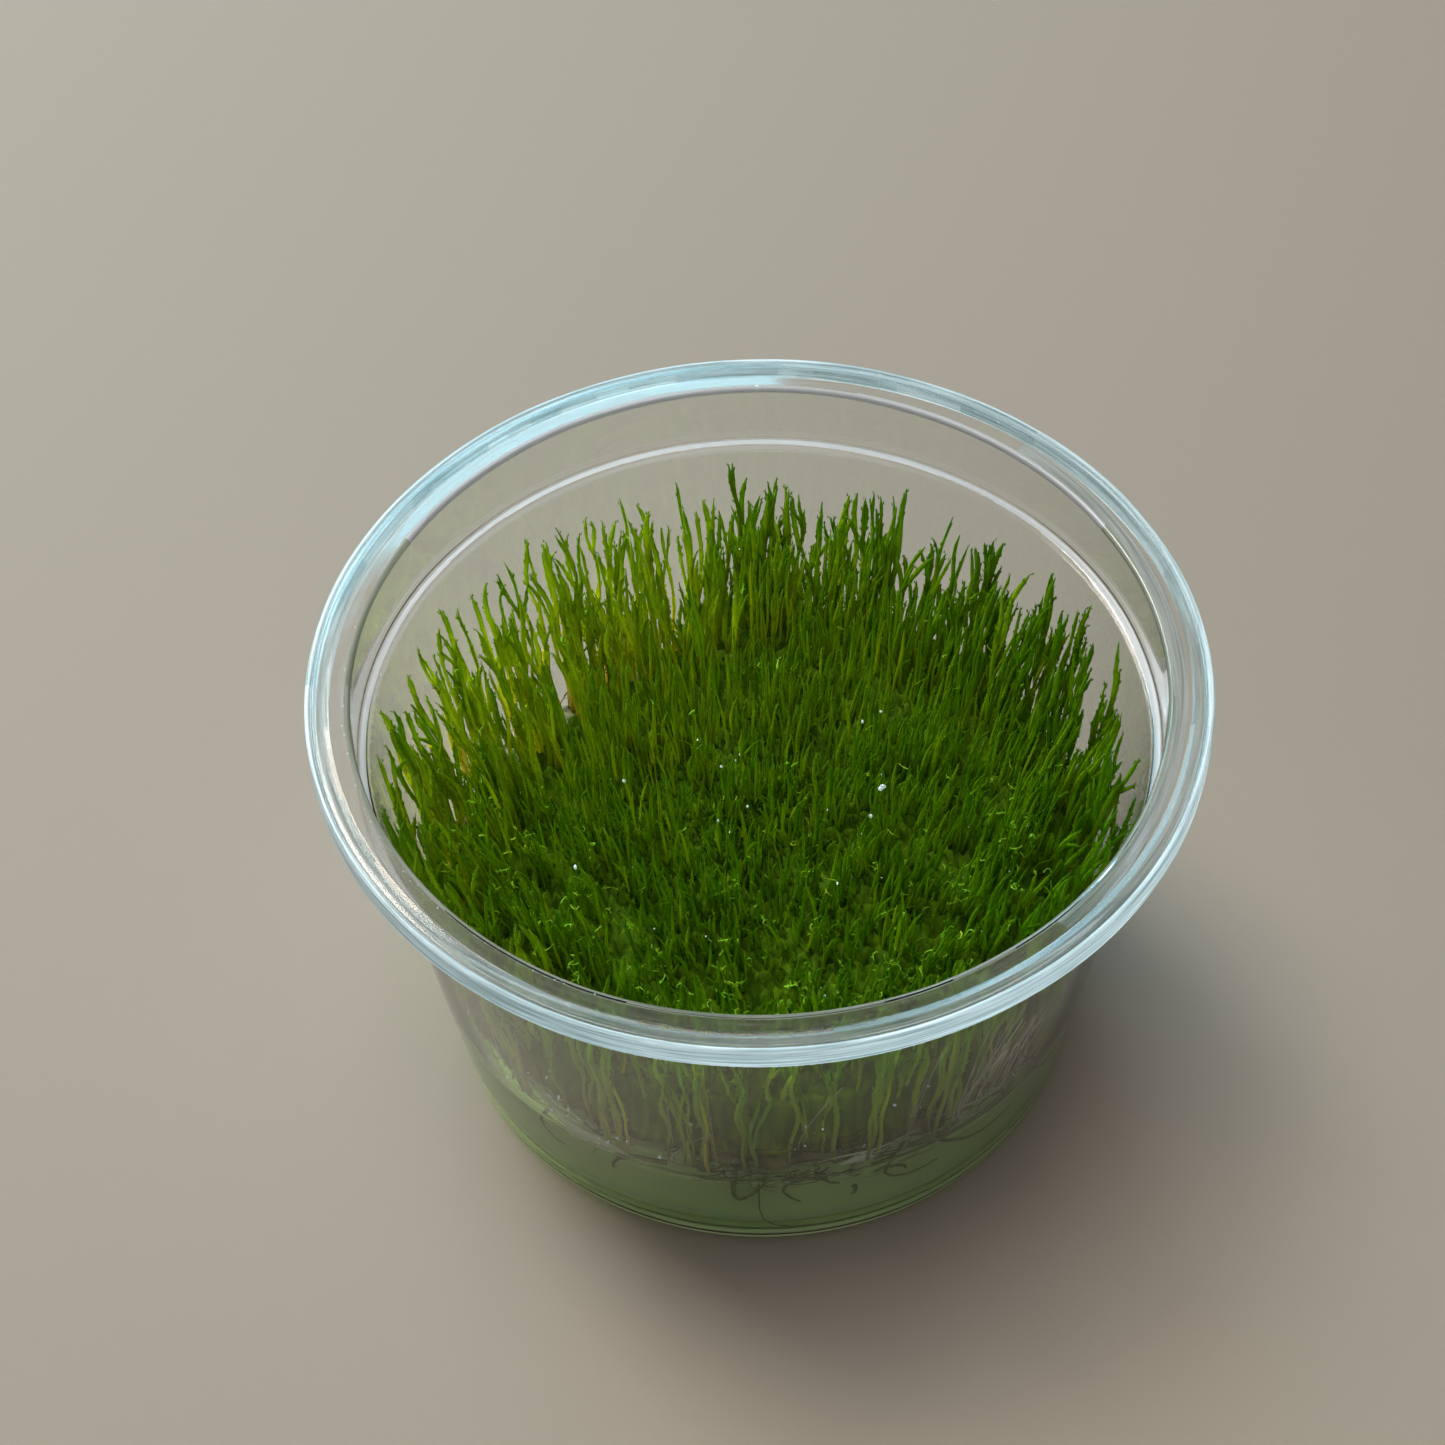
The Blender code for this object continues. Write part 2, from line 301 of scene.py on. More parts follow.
PLASTIC_IOR = 1.49
clear_plastic, tree = new_material("clear_plastic")
streaks = moulding_streaks(tree, 2600.0)
near_rim = ranged(tree, streaks["Height"], LEDGE_HEIGHT * MM, (CUP_HEIGHT - 2) * MM, 0.06, 1.0)
rubbed = times(tree, streaks["Streak"], near_rim)
dulled = ranged(tree, rubbed, 0.45, 0.75, 0.03, 0.17)
plastic = principled(tree, (0.97, 0.985, 0.98, 1.0), dulled, {
    "IOR": PLASTIC_IOR, "Transmission Weight": 1.0, "Normal": bumped(tree, 0.03, 0.03, rubbed)})
set_surface(tree, plastic, shadow_tint=(0.95, 0.965, 0.965))


def worn_and_painted_light_finish(name, light, dark, clearness, translucence, roughness, streakiness, shadow_tint):
    """A streaky finish for plastic, part clear and lit from behind too: milky wear, and painted light."""
    material, tree = new_material(name)
    streak = moulding_streaks(tree, 4200.0)["Streak"]
    tones = ramp(tree, streak, (0.36, *dark), (0.62, *light))
    milky_and_painted_shader = principled(tree, tones, roughness, {
        "IOR": PLASTIC_IOR, "Transmission Weight": clearness,
        "Normal": bumped(tree, streakiness, 0.04, streak)})
    set_surface(tree, lit_through(tree, milky_and_painted_shader, tones, translucence), shadow_tint)
    return material


# The outer lip is milky: partly rubbed, and partly a painted sheen for the light that the clear lip shows.
# The bead is faintly rubbed. The ledge is faintly rubbed and painted pale, a painted soft highlight. The
# mouth's edge is painted pale at the back, the lit side, and grey elsewhere: painted light and shade for
# what its clear plastic shows. The foot is painted pale green, a painted glow for the lit gel that it
# holds. Each row has the values that the function above asks for
CLEAR, MILKY_SHEEN_LIP, WORN_BEAD, PAINTED_PALE_LEDGE, PAINTED_GREY_EDGE, PAINTED_GLOW_FOOT = range(6)
worn_and_painted_light_finishes = [worn_and_painted_light_finish(*row) for row in (
    ("milky_plastic_painted_sheen", (0.82, 0.92, 0.97), (0.36, 0.47, 0.50), 0.35, 0.32, 0.14, 0.30, (0.80, 0.84, 0.85)),
    ("worn_plastic", (0.66, 0.74, 0.76), (0.30, 0.38, 0.38), 0.86, 0.03, 0.17, 0.02, (0.88, 0.90, 0.91)),
    ("ledge_plastic_painted_pale", (0.47, 0.46, 0.48), (0.42, 0.42, 0.43), 0.55, 0.08, 0.32, 0.04, (0.85, 0.87, 0.88)),
    ("edge_plastic_painted_grey", (0.36, 0.37, 0.31), (0.22, 0.24, 0.18), 0.45, 0.25, 0.12, 0.10, (0.85, 0.87, 0.87)),
    ("foot_plastic_painted_glow", (0.74, 0.88, 0.48), (0.60, 0.75, 0.38), 0.10, 0.35, 0.12, 0.05, (0.80, 0.86, 0.74)),
)]

cup_corners = [
    (0.0, FLOOR_HEIGHT, 0.0),
    (WALL_FOOT_INSIDE, FLOOR_HEIGHT, 2.4),
    (WALL_TOP_INSIDE, LEDGE_HEIGHT, 0.35),
    (MOUTH_RADIUS - 0.1, LEDGE_HEIGHT + 0.1, 0.35),
    (MOUTH_RADIUS, FLANGE_TOP, 0.4),
    (BEAD_INSIDE - 0.3, FLANGE_TOP, 0.5),
    (BEAD_INSIDE + 0.5, CUP_HEIGHT, 1.5),
    (GROOVE_RADIUS - 0.16, CUP_HEIGHT - 0.05, 0.1),
    (GROOVE_RADIUS, CUP_HEIGHT - 0.15, 0.05),
    (GROOVE_RADIUS + 0.14, CUP_HEIGHT, 0.06),
    (RIM_RADIUS, CUP_HEIGHT, 0.3),
    (RIM_RADIUS, LIP_FOOT, 0.3),
    (LIP_INSIDE, LIP_FOOT, 0.3),
    (LIP_INSIDE, FLANGE_UNDER, 0.35),
    (COLLAR_OUTSIDE, FLANGE_UNDER, 0.1),
    (COLLAR_OUTSIDE - 0.1, LEDGE_HEIGHT - 0.4, 0.5),
    (WALL_TOP_INSIDE + PLASTIC, LEDGE_HEIGHT - 0.9, 0.5),
    (FOOT_OUTSIDE, 0.0, 1.4),
    (FOOT_INSIDE, 0.0, 0.25),
    (FOOT_INSIDE - 0.5, 0.5, 0.3),
    (0.0, 0.5, 0.0),
]
points, *faces = turned(held_straight(rounded_outline(cup_corners)), CUP_TURNS)
around = np.arctan2(points[:, 1], points[:, 0])
reach = np.hypot(points[:, 0], points[:, 1])
UNEVEN = 0.022
swell = np.sin(5 * around + 0.11 * points[:, 2] + 1.1) + 0.7 * np.sin(9 * around - 0.2 * points[:, 2] + 4.0)
swell += 0.5 * np.sin(17 * around + 0.35 * points[:, 2])
outward = 1 + UNEVEN * swell * np.clip((points[:, 2] - 2) / 6, 0, 1) / np.maximum(reach, 1)
points[:, :2] *= outward[:, None]
reach = np.hypot(points[:, 0], points[:, 1])
points[:, :2] *= np.minimum(1, RIM_RADIUS / np.maximum(reach, 1))[:, None]
cup = new_piece("culture_cup", points, faces, clear_plastic)
for finish in worn_and_painted_light_finishes:
    cup.data.materials.append(finish)
RUBBED_AND_SHEEN_SIDE = 48
LIT_BACK_SIDE = 62
PAINTED_GLOW_BELOW = 1.9


def finish_at(reach, height, turn, upward):
    """Which finish the plastic has at a place, from its turn in degrees and how far up its face points."""
    on_rim = height > LIP_FOOT - 0.1
    # The outer lip is milky: partly rubbed, and partly a painted sheen for the light a clear lip shows
    if on_rim and reach > GROOVE_RADIUS + 0.05:
        return MILKY_SHEEN_LIP
    if on_rim and reach > BEAD_INSIDE and upward > 0:
        return WORN_BEAD
    # On the right the flange's inside is whitish: partly rubbing, partly a painted highlight
    if on_rim and MOUTH_RADIUS + 0.5 < reach < BEAD_INSIDE - 0.5 and abs(turn) < RUBBED_AND_SHEEN_SIDE:
        return WORN_BEAD
    # The mouth's edge is painted pale at the back, the lit side, and grey elsewhere: painted light and shade
    if height > FLANGE_TOP - 1.3 and reach < MOUTH_RADIUS + 0.45:
        return PAINTED_PALE_LEDGE if abs(turn - 90) < LIT_BACK_SIDE else PAINTED_GREY_EDGE
    # The ledge is faintly rubbed and painted pale, a painted soft highlight
    if upward > 0.7 and abs(reach - MOUTH_RADIUS + 0.5) < 0.3 and abs(height - LEDGE_HEIGHT) < 1:
        return PAINTED_PALE_LEDGE
    # The foot is painted pale green, a painted glow for the lit gel that it holds
    return PAINTED_GLOW_FOOT if height < PAINTED_GLOW_BELOW else CLEAR


for face in cup.data.polygons:
    face.material_index = finish_at(
        math.hypot(face.center.x, face.center.y) / MM, face.center.z / MM,
        math.degrees(math.atan2(face.center.y, face.center.x)), face.normal.z)
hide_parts("cup")


# The gel --------------------------------------------------------------------------------------
# Agar gel was poured into the cup and has set: a hazy pale green layer that wets the wall and climbs a
# little at its edge. It reaches just into the plastic, so that no air shows between the two.

GEL_HEIGHT = 12.2
MENISCUS = 0.7
WETTING = 0.06
GEL_TURNS = 120

agar_gel, tree = new_material("agar_gel")
haze = ramp(tree, noise(tree, 90.0, 4.0), (0.35, 0.66, 0.78, 0.44), (0.7, 0.76, 0.88, 0.52))
gel_shader = principled(tree, haze, 0.03, {"IOR": 1.34, "Transmission Weight": 0.93})
depth = node(tree, "ShaderNodeVolumeAbsorption", {"Color": (0.60, 0.82, 0.34, 1.0), "Density": 12.0})
output = set_surface(tree, gel_shader, shadow_tint=(0.80, 0.88, 0.72))
tree.links.new(depth.outputs[0], output.inputs["Volume"])

gel_edge = wall_inside(GEL_HEIGHT + MENISCUS) + WETTING
gel_corners = [
    (0.0, GEL_HEIGHT, 0.0),
    (gel_edge - 2.2, GEL_HEIGHT, 3.0),
    (gel_edge - 0.5, GEL_HEIGHT + 0.3, 1.0),
    (gel_edge, GEL_HEIGHT + MENISCUS, 0.05),
    (WALL_FOOT_INSIDE + WETTING, FLOOR_HEIGHT - WETTING, 2.4),
    (0.0, FLOOR_HEIGHT - WETTING, 0.0),
]
points, *faces = turned(held_straight(rounded_outline(gel_corners), spacing=2.0), GEL_TURNS)
top = points[:, 2] > GEL_HEIGHT - 0.01
swell = np.sin(0.55 * points[:, 0] + 1.0) * np.cos(0.48 * points[:, 1] + 0.4)
swell += 0.5 * np.sin(1.3 * points[:, 0] - 0.7 * points[:, 1])
points[:, 2] += np.where(top, 0.12 * swell, 0.0)
gel = new_piece("agar_gel", points, faces, agar_gel)
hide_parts("gel")

# Deeper in, the gel is cloudy. Its colour is painted palest low down, a painted glow for the light that the
# clear foot brings in, with a darker grey-blue band a little higher
CLOUDY_DEPTH = 1.9
cloudy_gel, tree = new_material("cloudy_gel")
level = height_share(tree, FLOOR_HEIGHT, GEL_HEIGHT)
clouding_and_painted_glow = node(
    tree, "ShaderNodeMath", {0: noise(tree, 120.0, 3.0), 1: 0.16, 2: level}, operation="MULTIPLY_ADD")
cloud_tones_and_painted_light = ramp(
    tree, clouding_and_painted_glow.outputs[0], (0.06, 0.57, 0.70, 0.29), (0.18, 0.55, 0.66, 0.29), (0.28, 0.37, 0.48, 0.33),
    (0.40, 0.44, 0.55, 0.28), (1.0, 0.41, 0.50, 0.28))
set_surface(tree, lit_through(tree, principled(tree, cloud_tones_and_painted_light, 0.5), cloud_tones_and_painted_light, 0.3))

core_corners = [
    (0.0, GEL_HEIGHT - 0.9, 0.0),
    (wall_inside(GEL_HEIGHT) - CLOUDY_DEPTH, GEL_HEIGHT - 0.9, 0.8),
    (WALL_FOOT_INSIDE - CLOUDY_DEPTH, FLOOR_HEIGHT + 0.25, 2.0),
    (0.0, FLOOR_HEIGHT + 0.25, 0.0),
]
points, *faces = turned(held_straight(rounded_outline(core_corners), spacing=2.4), GEL_TURNS)
core = new_piece("cloudy_gel", points, faces, cloudy_gel)


# The mat --------------------------------------------------------------------------------------
# Old stems and hair-like rhizoids lie matted on the gel, brown and wet, and tie the clump together. It is a
# lumpy felt that reaches the wall but for a bay at the front left, and loose fibres curl round its edge.

MAT_STEPS = 180
MAT_RINGS = 26
MAT_FIBRES = 560
PALE_HAIRS = 90
FIBRE_STEPS = 12
FIBRE_RADIUS = 0.075
BAY_MIDDLE = -120.0
BAY_HALF = 17.0
moss_rng = np.random.default_rng(20)

moss_base, tree = new_material("moss_base")
felt = noise(tree, 700.0, 4.0, distortion=1.5)
browns = ramp(tree, felt, (0.36, 0.028, 0.024, 0.005), (0.66, 0.10, 0.10, 0.018))
felt_tones = mixed(tree, stored(tree, "pale"), browns, (0.50, 0.47, 0.36, 1.0))
set_surface(tree, principled(tree, felt_tones, 0.45, {
    "Specular IOR Level": 0.2, "Normal": bumped(tree, 0.5, 0.15, felt)}))


def edge_of(name, angles):
    """How far a node of the frame reaches from the axis at each of these angles, in millimetres."""
    points = np.array([vertex.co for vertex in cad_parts[name].data.vertices], float) / MM
    around = np.arctan2(points[:, 1], points[:, 0])
    reach = np.hypot(points[:, 0], points[:, 1])
    order = np.argsort(around)
    far = reach[order] > 0.93 * reach.max()
    return np.interp(angles, around[order][far], reach[order][far], period=math.tau)


def tubes(paths, radii, sides=3, across=None, flatness=1.0):
    """Points and faces of many thin tubes of equal steps, with closed ends, along paths (tube, step, xyz).

    They are round, or flattened by a share so that they are widest across a given way.
    """
    count, steps, _ = paths.shape
    along = unit(np.gradient(paths, axis=1))
    if across is None:
        helper = np.where(np.abs(along[..., 2:]) > 0.8, [1.0, 0.0, 0.0], [0.0, 0.0, 1.0])
        across = unit(np.cross(along, helper))
    upright = np.cross(along, across) * flatness
    turn = np.arange(sides) * math.tau / sides
    ring = across[:, :, None] * np.cos(turn)[:, None] + upright[:, :, None] * np.sin(turn)[:, None]
    points = paths[:, :, None] + ring * radii[:, :, None, None]
    base = (np.arange(count) * steps * sides)[:, None]
    row = base[..., None] + (np.arange(steps - 1) * sides)[:, None]
    here = np.arange(sides)
    after = (here + 1) % sides
    walls = np.stack([row + here, row + after, row + sides + after, row + sides + here], axis=-1)
    ends = np.concatenate([base + here[::-1], base + (steps - 1) * sides + here])
    return points.reshape(-1, 3), walls.reshape(-1, 4), ends


def joined(parts):
    """Several (points, faces, faces...) as one, with the faces sorted into quads and triangles."""
    points, quads, triangles, start = [], [], [], 0
    for part_points, *groups in parts:
        points.append(part_points)
        for group in groups:
            (quads if group.shape[1] == 4 else triangles).append(group + start)
        start += len(part_points)
    groups = [np.concatenate(kept) for kept in (quads, triangles) if kept]
    return np.concatenate(points), groups


def give_values(piece, values):
    """Stores named values, one for each point of a piece, for its material to read."""
    for name, value in values.items():
        piece.data.attributes.new(name, "FLOAT", "POINT").data.foreach_set("value", value.astype(np.float32))


def hold_in(paths, room):
    """The paths, held in by the wall of the cup."""
    reach = np.hypot(paths[..., 0], paths[..., 1])
    most = wall_inside(paths[..., 2]) - room
    paths[..., :2] *= np.minimum(1, most / np.maximum(reach, 1e-6))[..., None]
    return paths


def smooth_line(corners, steps):
    """A smooth line of equal steps through corners (azimuth in degrees, height, depth from the wall)."""
    corners = np.array(corners, float)
    shares = np.linspace(0, 1, len(corners))
    wanted = np.linspace(0, 1, steps)
    for _ in range(3):
        middles = (corners[:-1] + corners[1:]) / 2
        middle_shares = (shares[:-1] + shares[1:]) / 2
        corners = np.concatenate([corners[:1], middles, corners[-1:]])
        shares = np.concatenate([shares[:1], middle_shares, shares[-1:]])
    azimuth, height, depth = (np.interp(wanted, shares, corners[:, column]) for column in range(3))
    return at(wall_inside(height) - depth, np.radians(azimuth), height)


mat_low, mat_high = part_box("moss_mat")
MAT_FOOT = mat_low.z / MM
MAT_HEAD = mat_high.z / MM
turns = np.arange(MAT_STEPS) * math.tau / MAT_STEPS - math.pi
from_bay = np.abs((np.degrees(turns) - BAY_MIDDLE + 180) % 360 - 180)
bay = np.clip((BAY_HALF + 5 - from_bay) / 10, 0, 1)
ragged = 0.25 * np.sin(23 * turns) + 0.2 * np.sin(41 * turns + 2)
mat_edge = edge_of("moss_mat", turns) * bay + (wall_inside(MAT_FOOT) - 0.75) * (1 - bay) + ragged
section = np.linspace(0, 1, MAT_RINGS)
mat_share = np.sin(section[1:-1] * math.pi) ** 0.35
mat_height = MAT_FOOT - 0.3 + (MAT_HEAD - MAT_FOOT + 0.8) * (1 - np.cos(section * math.pi)) / 2
mat_rings = at(mat_share[:, None] * mat_edge, turns, mat_height[1:-1, None])
lump = 0.25 * np.sin(2.1 * mat_rings[..., 0] + 3 * mat_rings[..., 2]) * np.sin(2.3 * mat_rings[..., 1])
mat_rings[..., 2] += lump
hold_in(mat_rings, 0.15)
felted = closed_rings(mat_rings, mat_height[0], mat_height[-1])

fibre_share = np.linspace(0, 1, FIBRE_STEPS)[None]


def ripple(size, beats):
    """A ripple along each fibre, of its own phase."""
    return size * np.sin(beats * fibre_share + moss_rng.uniform(0, 6, (MAT_FIBRES, 1)))


fibre_turn = moss_rng.uniform(-math.pi, math.pi, MAT_FIBRES)
fibre_edge = np.interp(fibre_turn, turns, mat_edge, period=math.tau)
fibre_sweep = moss_rng.uniform(-0.22, 0.22, MAT_FIBRES)[:, None]
fibre_around = fibre_turn[:, None] + fibre_sweep * fibre_share + ripple(0.02, 9)
fibre_out = fibre_edge[:, None] + 0.9 - moss_rng.uniform(0.0, 2.4, (MAT_FIBRES, 1))
fibre_out = fibre_out + ripple(0.35, 7)
fibre_z = moss_rng.uniform(MAT_FOOT - 0.5, MAT_HEAD + 2.5, (MAT_FIBRES, 1))
fibre_z = fibre_z + moss_rng.normal(0, 1.2, (MAT_FIBRES, 1)) * fibre_share + ripple(0.3, 8)
fibre_paths = at(fibre_out, fibre_around, fibre_z)
hold_in(fibre_paths, 0.12)
fibre_radii = FIBRE_RADIUS * moss_rng.uniform(0.6, 1.5, (MAT_FIBRES, 1)) * (1.1 - 0.7 * fibre_share)

# Pale hairs stand pressed to the wall at the right, and a few elsewhere
turn_at_right = moss_rng.uniform(-58, -20, PALE_HAIRS)
turn_anywhere = moss_rng.uniform(-150, 20, PALE_HAIRS)
hair_turn = np.radians(np.where(np.arange(PALE_HAIRS) % 4 > 0, turn_at_right, turn_anywhere))
hair_around = hair_turn[:, None] + moss_rng.uniform(-0.02, 0.14, (PALE_HAIRS, 1)) * fibre_share**1.5
hair_z = moss_rng.uniform(13.0, 19, (PALE_HAIRS, 1)) + moss_rng.uniform(5, 13, (PALE_HAIRS, 1)) * fibre_share
hair_out = wall_inside(hair_z) - moss_rng.uniform(0.12, 0.5, (PALE_HAIRS, 1))
hair_paths = at(hair_out, hair_around, hair_z)
hair_radii = moss_rng.uniform(0.03, 0.06, (PALE_HAIRS, 1)) * np.ones((1, FIBRE_STEPS))

parts = [felted, tubes(fibre_paths, fibre_radii), tubes(hair_paths, hair_radii)]
points, faces = joined(parts)
mat = new_piece("felted_mat", points, faces, moss_base)
paleness_of = np.zeros(len(points))
paleness_of[-len(parts[2][0]):] = np.repeat(moss_rng.uniform(0.35, 1.0, PALE_HAIRS), FIBRE_STEPS * 3)
give_values(mat, {"pale": paleness_of})
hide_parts("moss_mat")


# The loose stems ------------------------------------------------------------------------------
# A few old stems have come away from the mat and curl down through the gel, close to the front wall, where
# they show dark green. Folds and patches of thin wet film lie on the wall over the bay at the left, painted
# pale, a painted sheen for the light that the wet film reflects.

STRAND_STEPS = 26
STRAND_RADIUS = 0.25
FOLD_RADIUS = 0.07
FILM_HALF_WIDTH = 0.7
THREAD = 2

stem_green, tree = new_material("stem_green")
patch = noise(tree, 500.0, 3.0)
greens = ramp(tree, patch, (0.38, 0.030, 0.050, 0.005), (0.66, 0.075, 0.105, 0.012))
# The pale is a painted sheen on the wet film; the stems keep their own dark green
stem_tones_and_painted_sheen = mixed(tree, stored(tree, "pale"), greens, (0.26, 0.31, 0.20, 1.0))
set_surface(tree, principled(tree, stem_tones_and_painted_sheen, 0.4, {"Normal": bumped(tree, 0.5, 0.1, patch)}))

# The corners of each stem, fold and patch give its azimuth, height and depth from the wall
loose_stems = [
    [(-107, 13.4, 0.6), (-111, 13.3, 0.5), (-115, 12.9, 0.35), (-117.5, 11.4, 0.3), (-117, 9.4, 0.35)],
    [(-95.5, 13.0, 0.6), (-96, 10.6, 0.4), (-96, 8.0, 0.3), (-94, 7.8, 0.3), (-92.8, 9.8, 0.4),
     (-90, 12.6, 0.6)],
    [(-91.5, 12.0, 0.6), (-91.5, 8.0, 0.4), (-91.7, 4.4, 0.4), (-91.0, 2.6, 0.5), (-87, 2.1, 0.7),
     (-83, 2.0, 0.9)],
    [(-83, 13.2, 0.6), (-86, 12.2, 0.4), (-89.5, 11.0, 0.3), (-87, 9.6, 0.3), (-84.5, 7.9, 0.35)],
    [(-82, 12.6, 0.6), (-80, 11.4, 0.4), (-78, 10.6, 0.35)],
    [(-75.5, 9.6, 0.4), (-74.6, 9.0, 0.25), (-74.9, 8.0, 0.25), (-75.6, 7.6, 0.35)],
    [(-66, 14.6, 0.6), (-69, 13.2, 0.35), (-71, 10.9, 0.3), (-70.5, 9.4, 0.3), (-67, 8.4, 0.3),
     (-63, 8.0, 0.3), (-59.5, 8.4, 0.4)],
    [(-72, 11.4, 0.4), (-69, 11.9, 0.3), (-66.5, 11.2, 0.3), (-66, 9.6, 0.35)],
    [(-60, 12.4, 0.4), (-56, 10.0, 0.3), (-52, 8.8, 0.3), (-47, 8.0, 0.35), (-42, 9.4, 0.5)],
    [(-67, 14.0, 0.6), (-64, 13.0, 0.4), (-60, 13.0, 0.35), (-56, 14.0, 0.5)],
    [(-130, 13.4, 0.5), (-133, 11.4, 0.35), (-131, 9.0, 0.3), (-127, 9.2, 0.4)],
    [(-38, 12.4, 0.5), (-35, 10.4, 0.35), (-31, 9.6, 0.3), (-28, 11.0, 0.45)],
    [(150, 12.6, 0.6), (154, 10.2, 0.35), (157, 8.4, 0.35), (160, 9.0, 0.4)],
    [(40, 12.6, 0.6), (37, 9.8, 0.35), (35, 7.0, 0.35), (31, 6.4, 0.5)],
    [(95, 12.6, 0.6), (98, 9.8, 0.35), (102, 8.8, 0.3), (105, 10.4, 0.5)],
]
film_folds = [
    [(-140, 22.0, 0.25), (-139, 18.6, 0.25), (-135, 15.4, 0.25), (-129, 13.6, 0.3), (-123, 14.0, 0.5)],
    [(-135, 21.0, 0.3), (-133, 18.0, 0.25), (-129, 15.8, 0.25), (-124, 14.8, 0.3), (-119, 15.8, 0.5)],
    [(-130, 19.6, 0.3), (-128, 17.2, 0.25), (-124, 16.2, 0.25), (-119, 16.8, 0.4)],
    [(-124, 13.4, 0.3), (-118, 13.0, 0.3), (-112, 12.8, 0.3), (-105, 12.6, 0.3)],
    [(-82, 15.4, 0.4), (-76, 15.6, 0.3), (-70, 16.0, 0.3), (-64, 16.2, 0.5)],
    [(-62, 17.6, 0.5), (-56, 16.0, 0.3), (-50, 15.4, 0.3), (-44, 16.2, 0.4)],
]
film_patches = [
    [(-129, 15.0, 0.22), (-124, 14.4, 0.2), (-119, 13.8, 0.2), (-113, 13.2, 0.24)],
    [(-127, 13.9, 0.22), (-122, 13.4, 0.2), (-117, 12.9, 0.24)],
    [(-78, 14.4, 0.24), (-74, 14.7, 0.2), (-70, 15.2, 0.24)],
]
strand_paths, fold_paths, film_paths = [
    np.array([smooth_line(corners, STRAND_STEPS) for corners in kind])
    for kind in (loose_stems, film_folds, film_patches)]
for paths, wobble in ((strand_paths, 0.10), (fold_paths, 0.16), (film_paths, 0.12)):
    beat = np.linspace(0, 9, STRAND_STEPS)[None] + moss_rng.uniform(0, 6, (len(paths), 1))
    paths[..., 2] += wobble * np.sin(beat)
    hold_in(paths, 0.14)
strand_taper = 1.0 - 0.45 * np.linspace(0, 1, STRAND_STEPS)[None]
strand_radii = STRAND_RADIUS * moss_rng.uniform(0.7, 1.3, (len(strand_paths), 1)) * strand_taper
strand_radii[THREAD] *= 0.4
fold_taper = np.sin(np.linspace(0.15, math.pi - 0.15, STRAND_STEPS))[None]
fold_radii = FOLD_RADIUS * moss_rng.uniform(0.7, 1.3, (len(fold_paths), 1)) * fold_taper
film_way = unit(np.cross(np.gradient(film_paths, axis=1), film_paths * [1, 1, 0]))
film_radii = FILM_HALF_WIDTH * moss_rng.uniform(0.5, 1.2, film_paths.shape[:2]) * fold_taper
strands = tubes(strand_paths, strand_radii, sides=6)
folds = tubes(fold_paths, fold_radii, sides=6)
films = tubes(film_paths, film_radii, sides=6, across=film_way, flatness=0.1)
points, faces = joined([strands[:2], folds[:2], films[:2]])
start = 0
for part in (strands, folds, films):
    faces.append(part[2] + start)
    start += len(part[0])
loose = new_piece("loose_stems", points, faces, stem_green)
# The film's folds and patches take the pale painted sheen
give_values(loose, {"pale": np.where(np.arange(len(points)) < len(strands[0]), 0.0, 1.0)})


# The undergrowth ------------------------------------------------------------------------------
# Below their tips the shoots stand so close that only a green pile of them shows, brown towards its foot.
# Its greens are painted far darker than the shoots' own, as painted shade deep in the clump.
# It leaves a little room to the wall, and is lower at the back and far from the wall at the back left.

PILE_TURNS = 240
PILE_RINGS = 60
PILE_SIDE_RINGS = 10
PILE_REACH = 29.4
PILE_FOOT = 14.4
PILE_SPIKE = 1.2
PILE_TOP = 25.4
SPARSE_SIDE = 136
SPARSE_HALF = 38

pile_green_painted_shade, tree = new_material("pile_green_painted_shade")
upright = node(tree, "ShaderNodeMapping", {"Vector": own_frame(tree), "Scale": (1.0, 1.0, 0.12)})
strand_noise = noise(tree, 1500.0, 3.0, upright.outputs[0])
# The greens are painted shade, far darker than the shoots' own colour
greens = ramp(tree, strand_noise, (0.36, 0.038, 0.098, 0.002), (0.66, 0.098, 0.190, 0.003))
browns = ramp(tree, strand_noise, (0.36, 0.066, 0.090, 0.006), (0.68, 0.21, 0.28, 0.016))
pile_tones_and_painted_shade = mixed(tree, height_share(tree, 15, 20.5), browns, greens)
pile_shader = principled(tree, pile_tones_and_painted_shade, 0.7, {
    "Specular IOR Level": 0.05, "Normal": bumped(tree, 0.6, 0.2, strand_noise)})
set_surface(tree, lit_through(tree, pile_shader, pile_tones_and_painted_shade, 0.3))


def sparseness(x, y):
    """How sparse the clump is at a place: 1 at the back left, and 0 elsewhere."""
    azimuth = np.degrees(np.arctan2(y, x)) % 360
    on_side = np.clip(1.5 - np.abs(azimuth - SPARSE_SIDE) / SPARSE_HALF, 0, 1)
    return on_side * np.clip((np.hypot(x, y) - 8) / 10, 0, 1)


def pile_height(x, y):
    """How high the dense pile stands at a place."""
    fall = 3.0 * np.clip((np.hypot(x, y) - 25) / 6, 0, 1)
    return PILE_TOP - 0.04 * y - fall - 4.0 * sparseness(x, y)


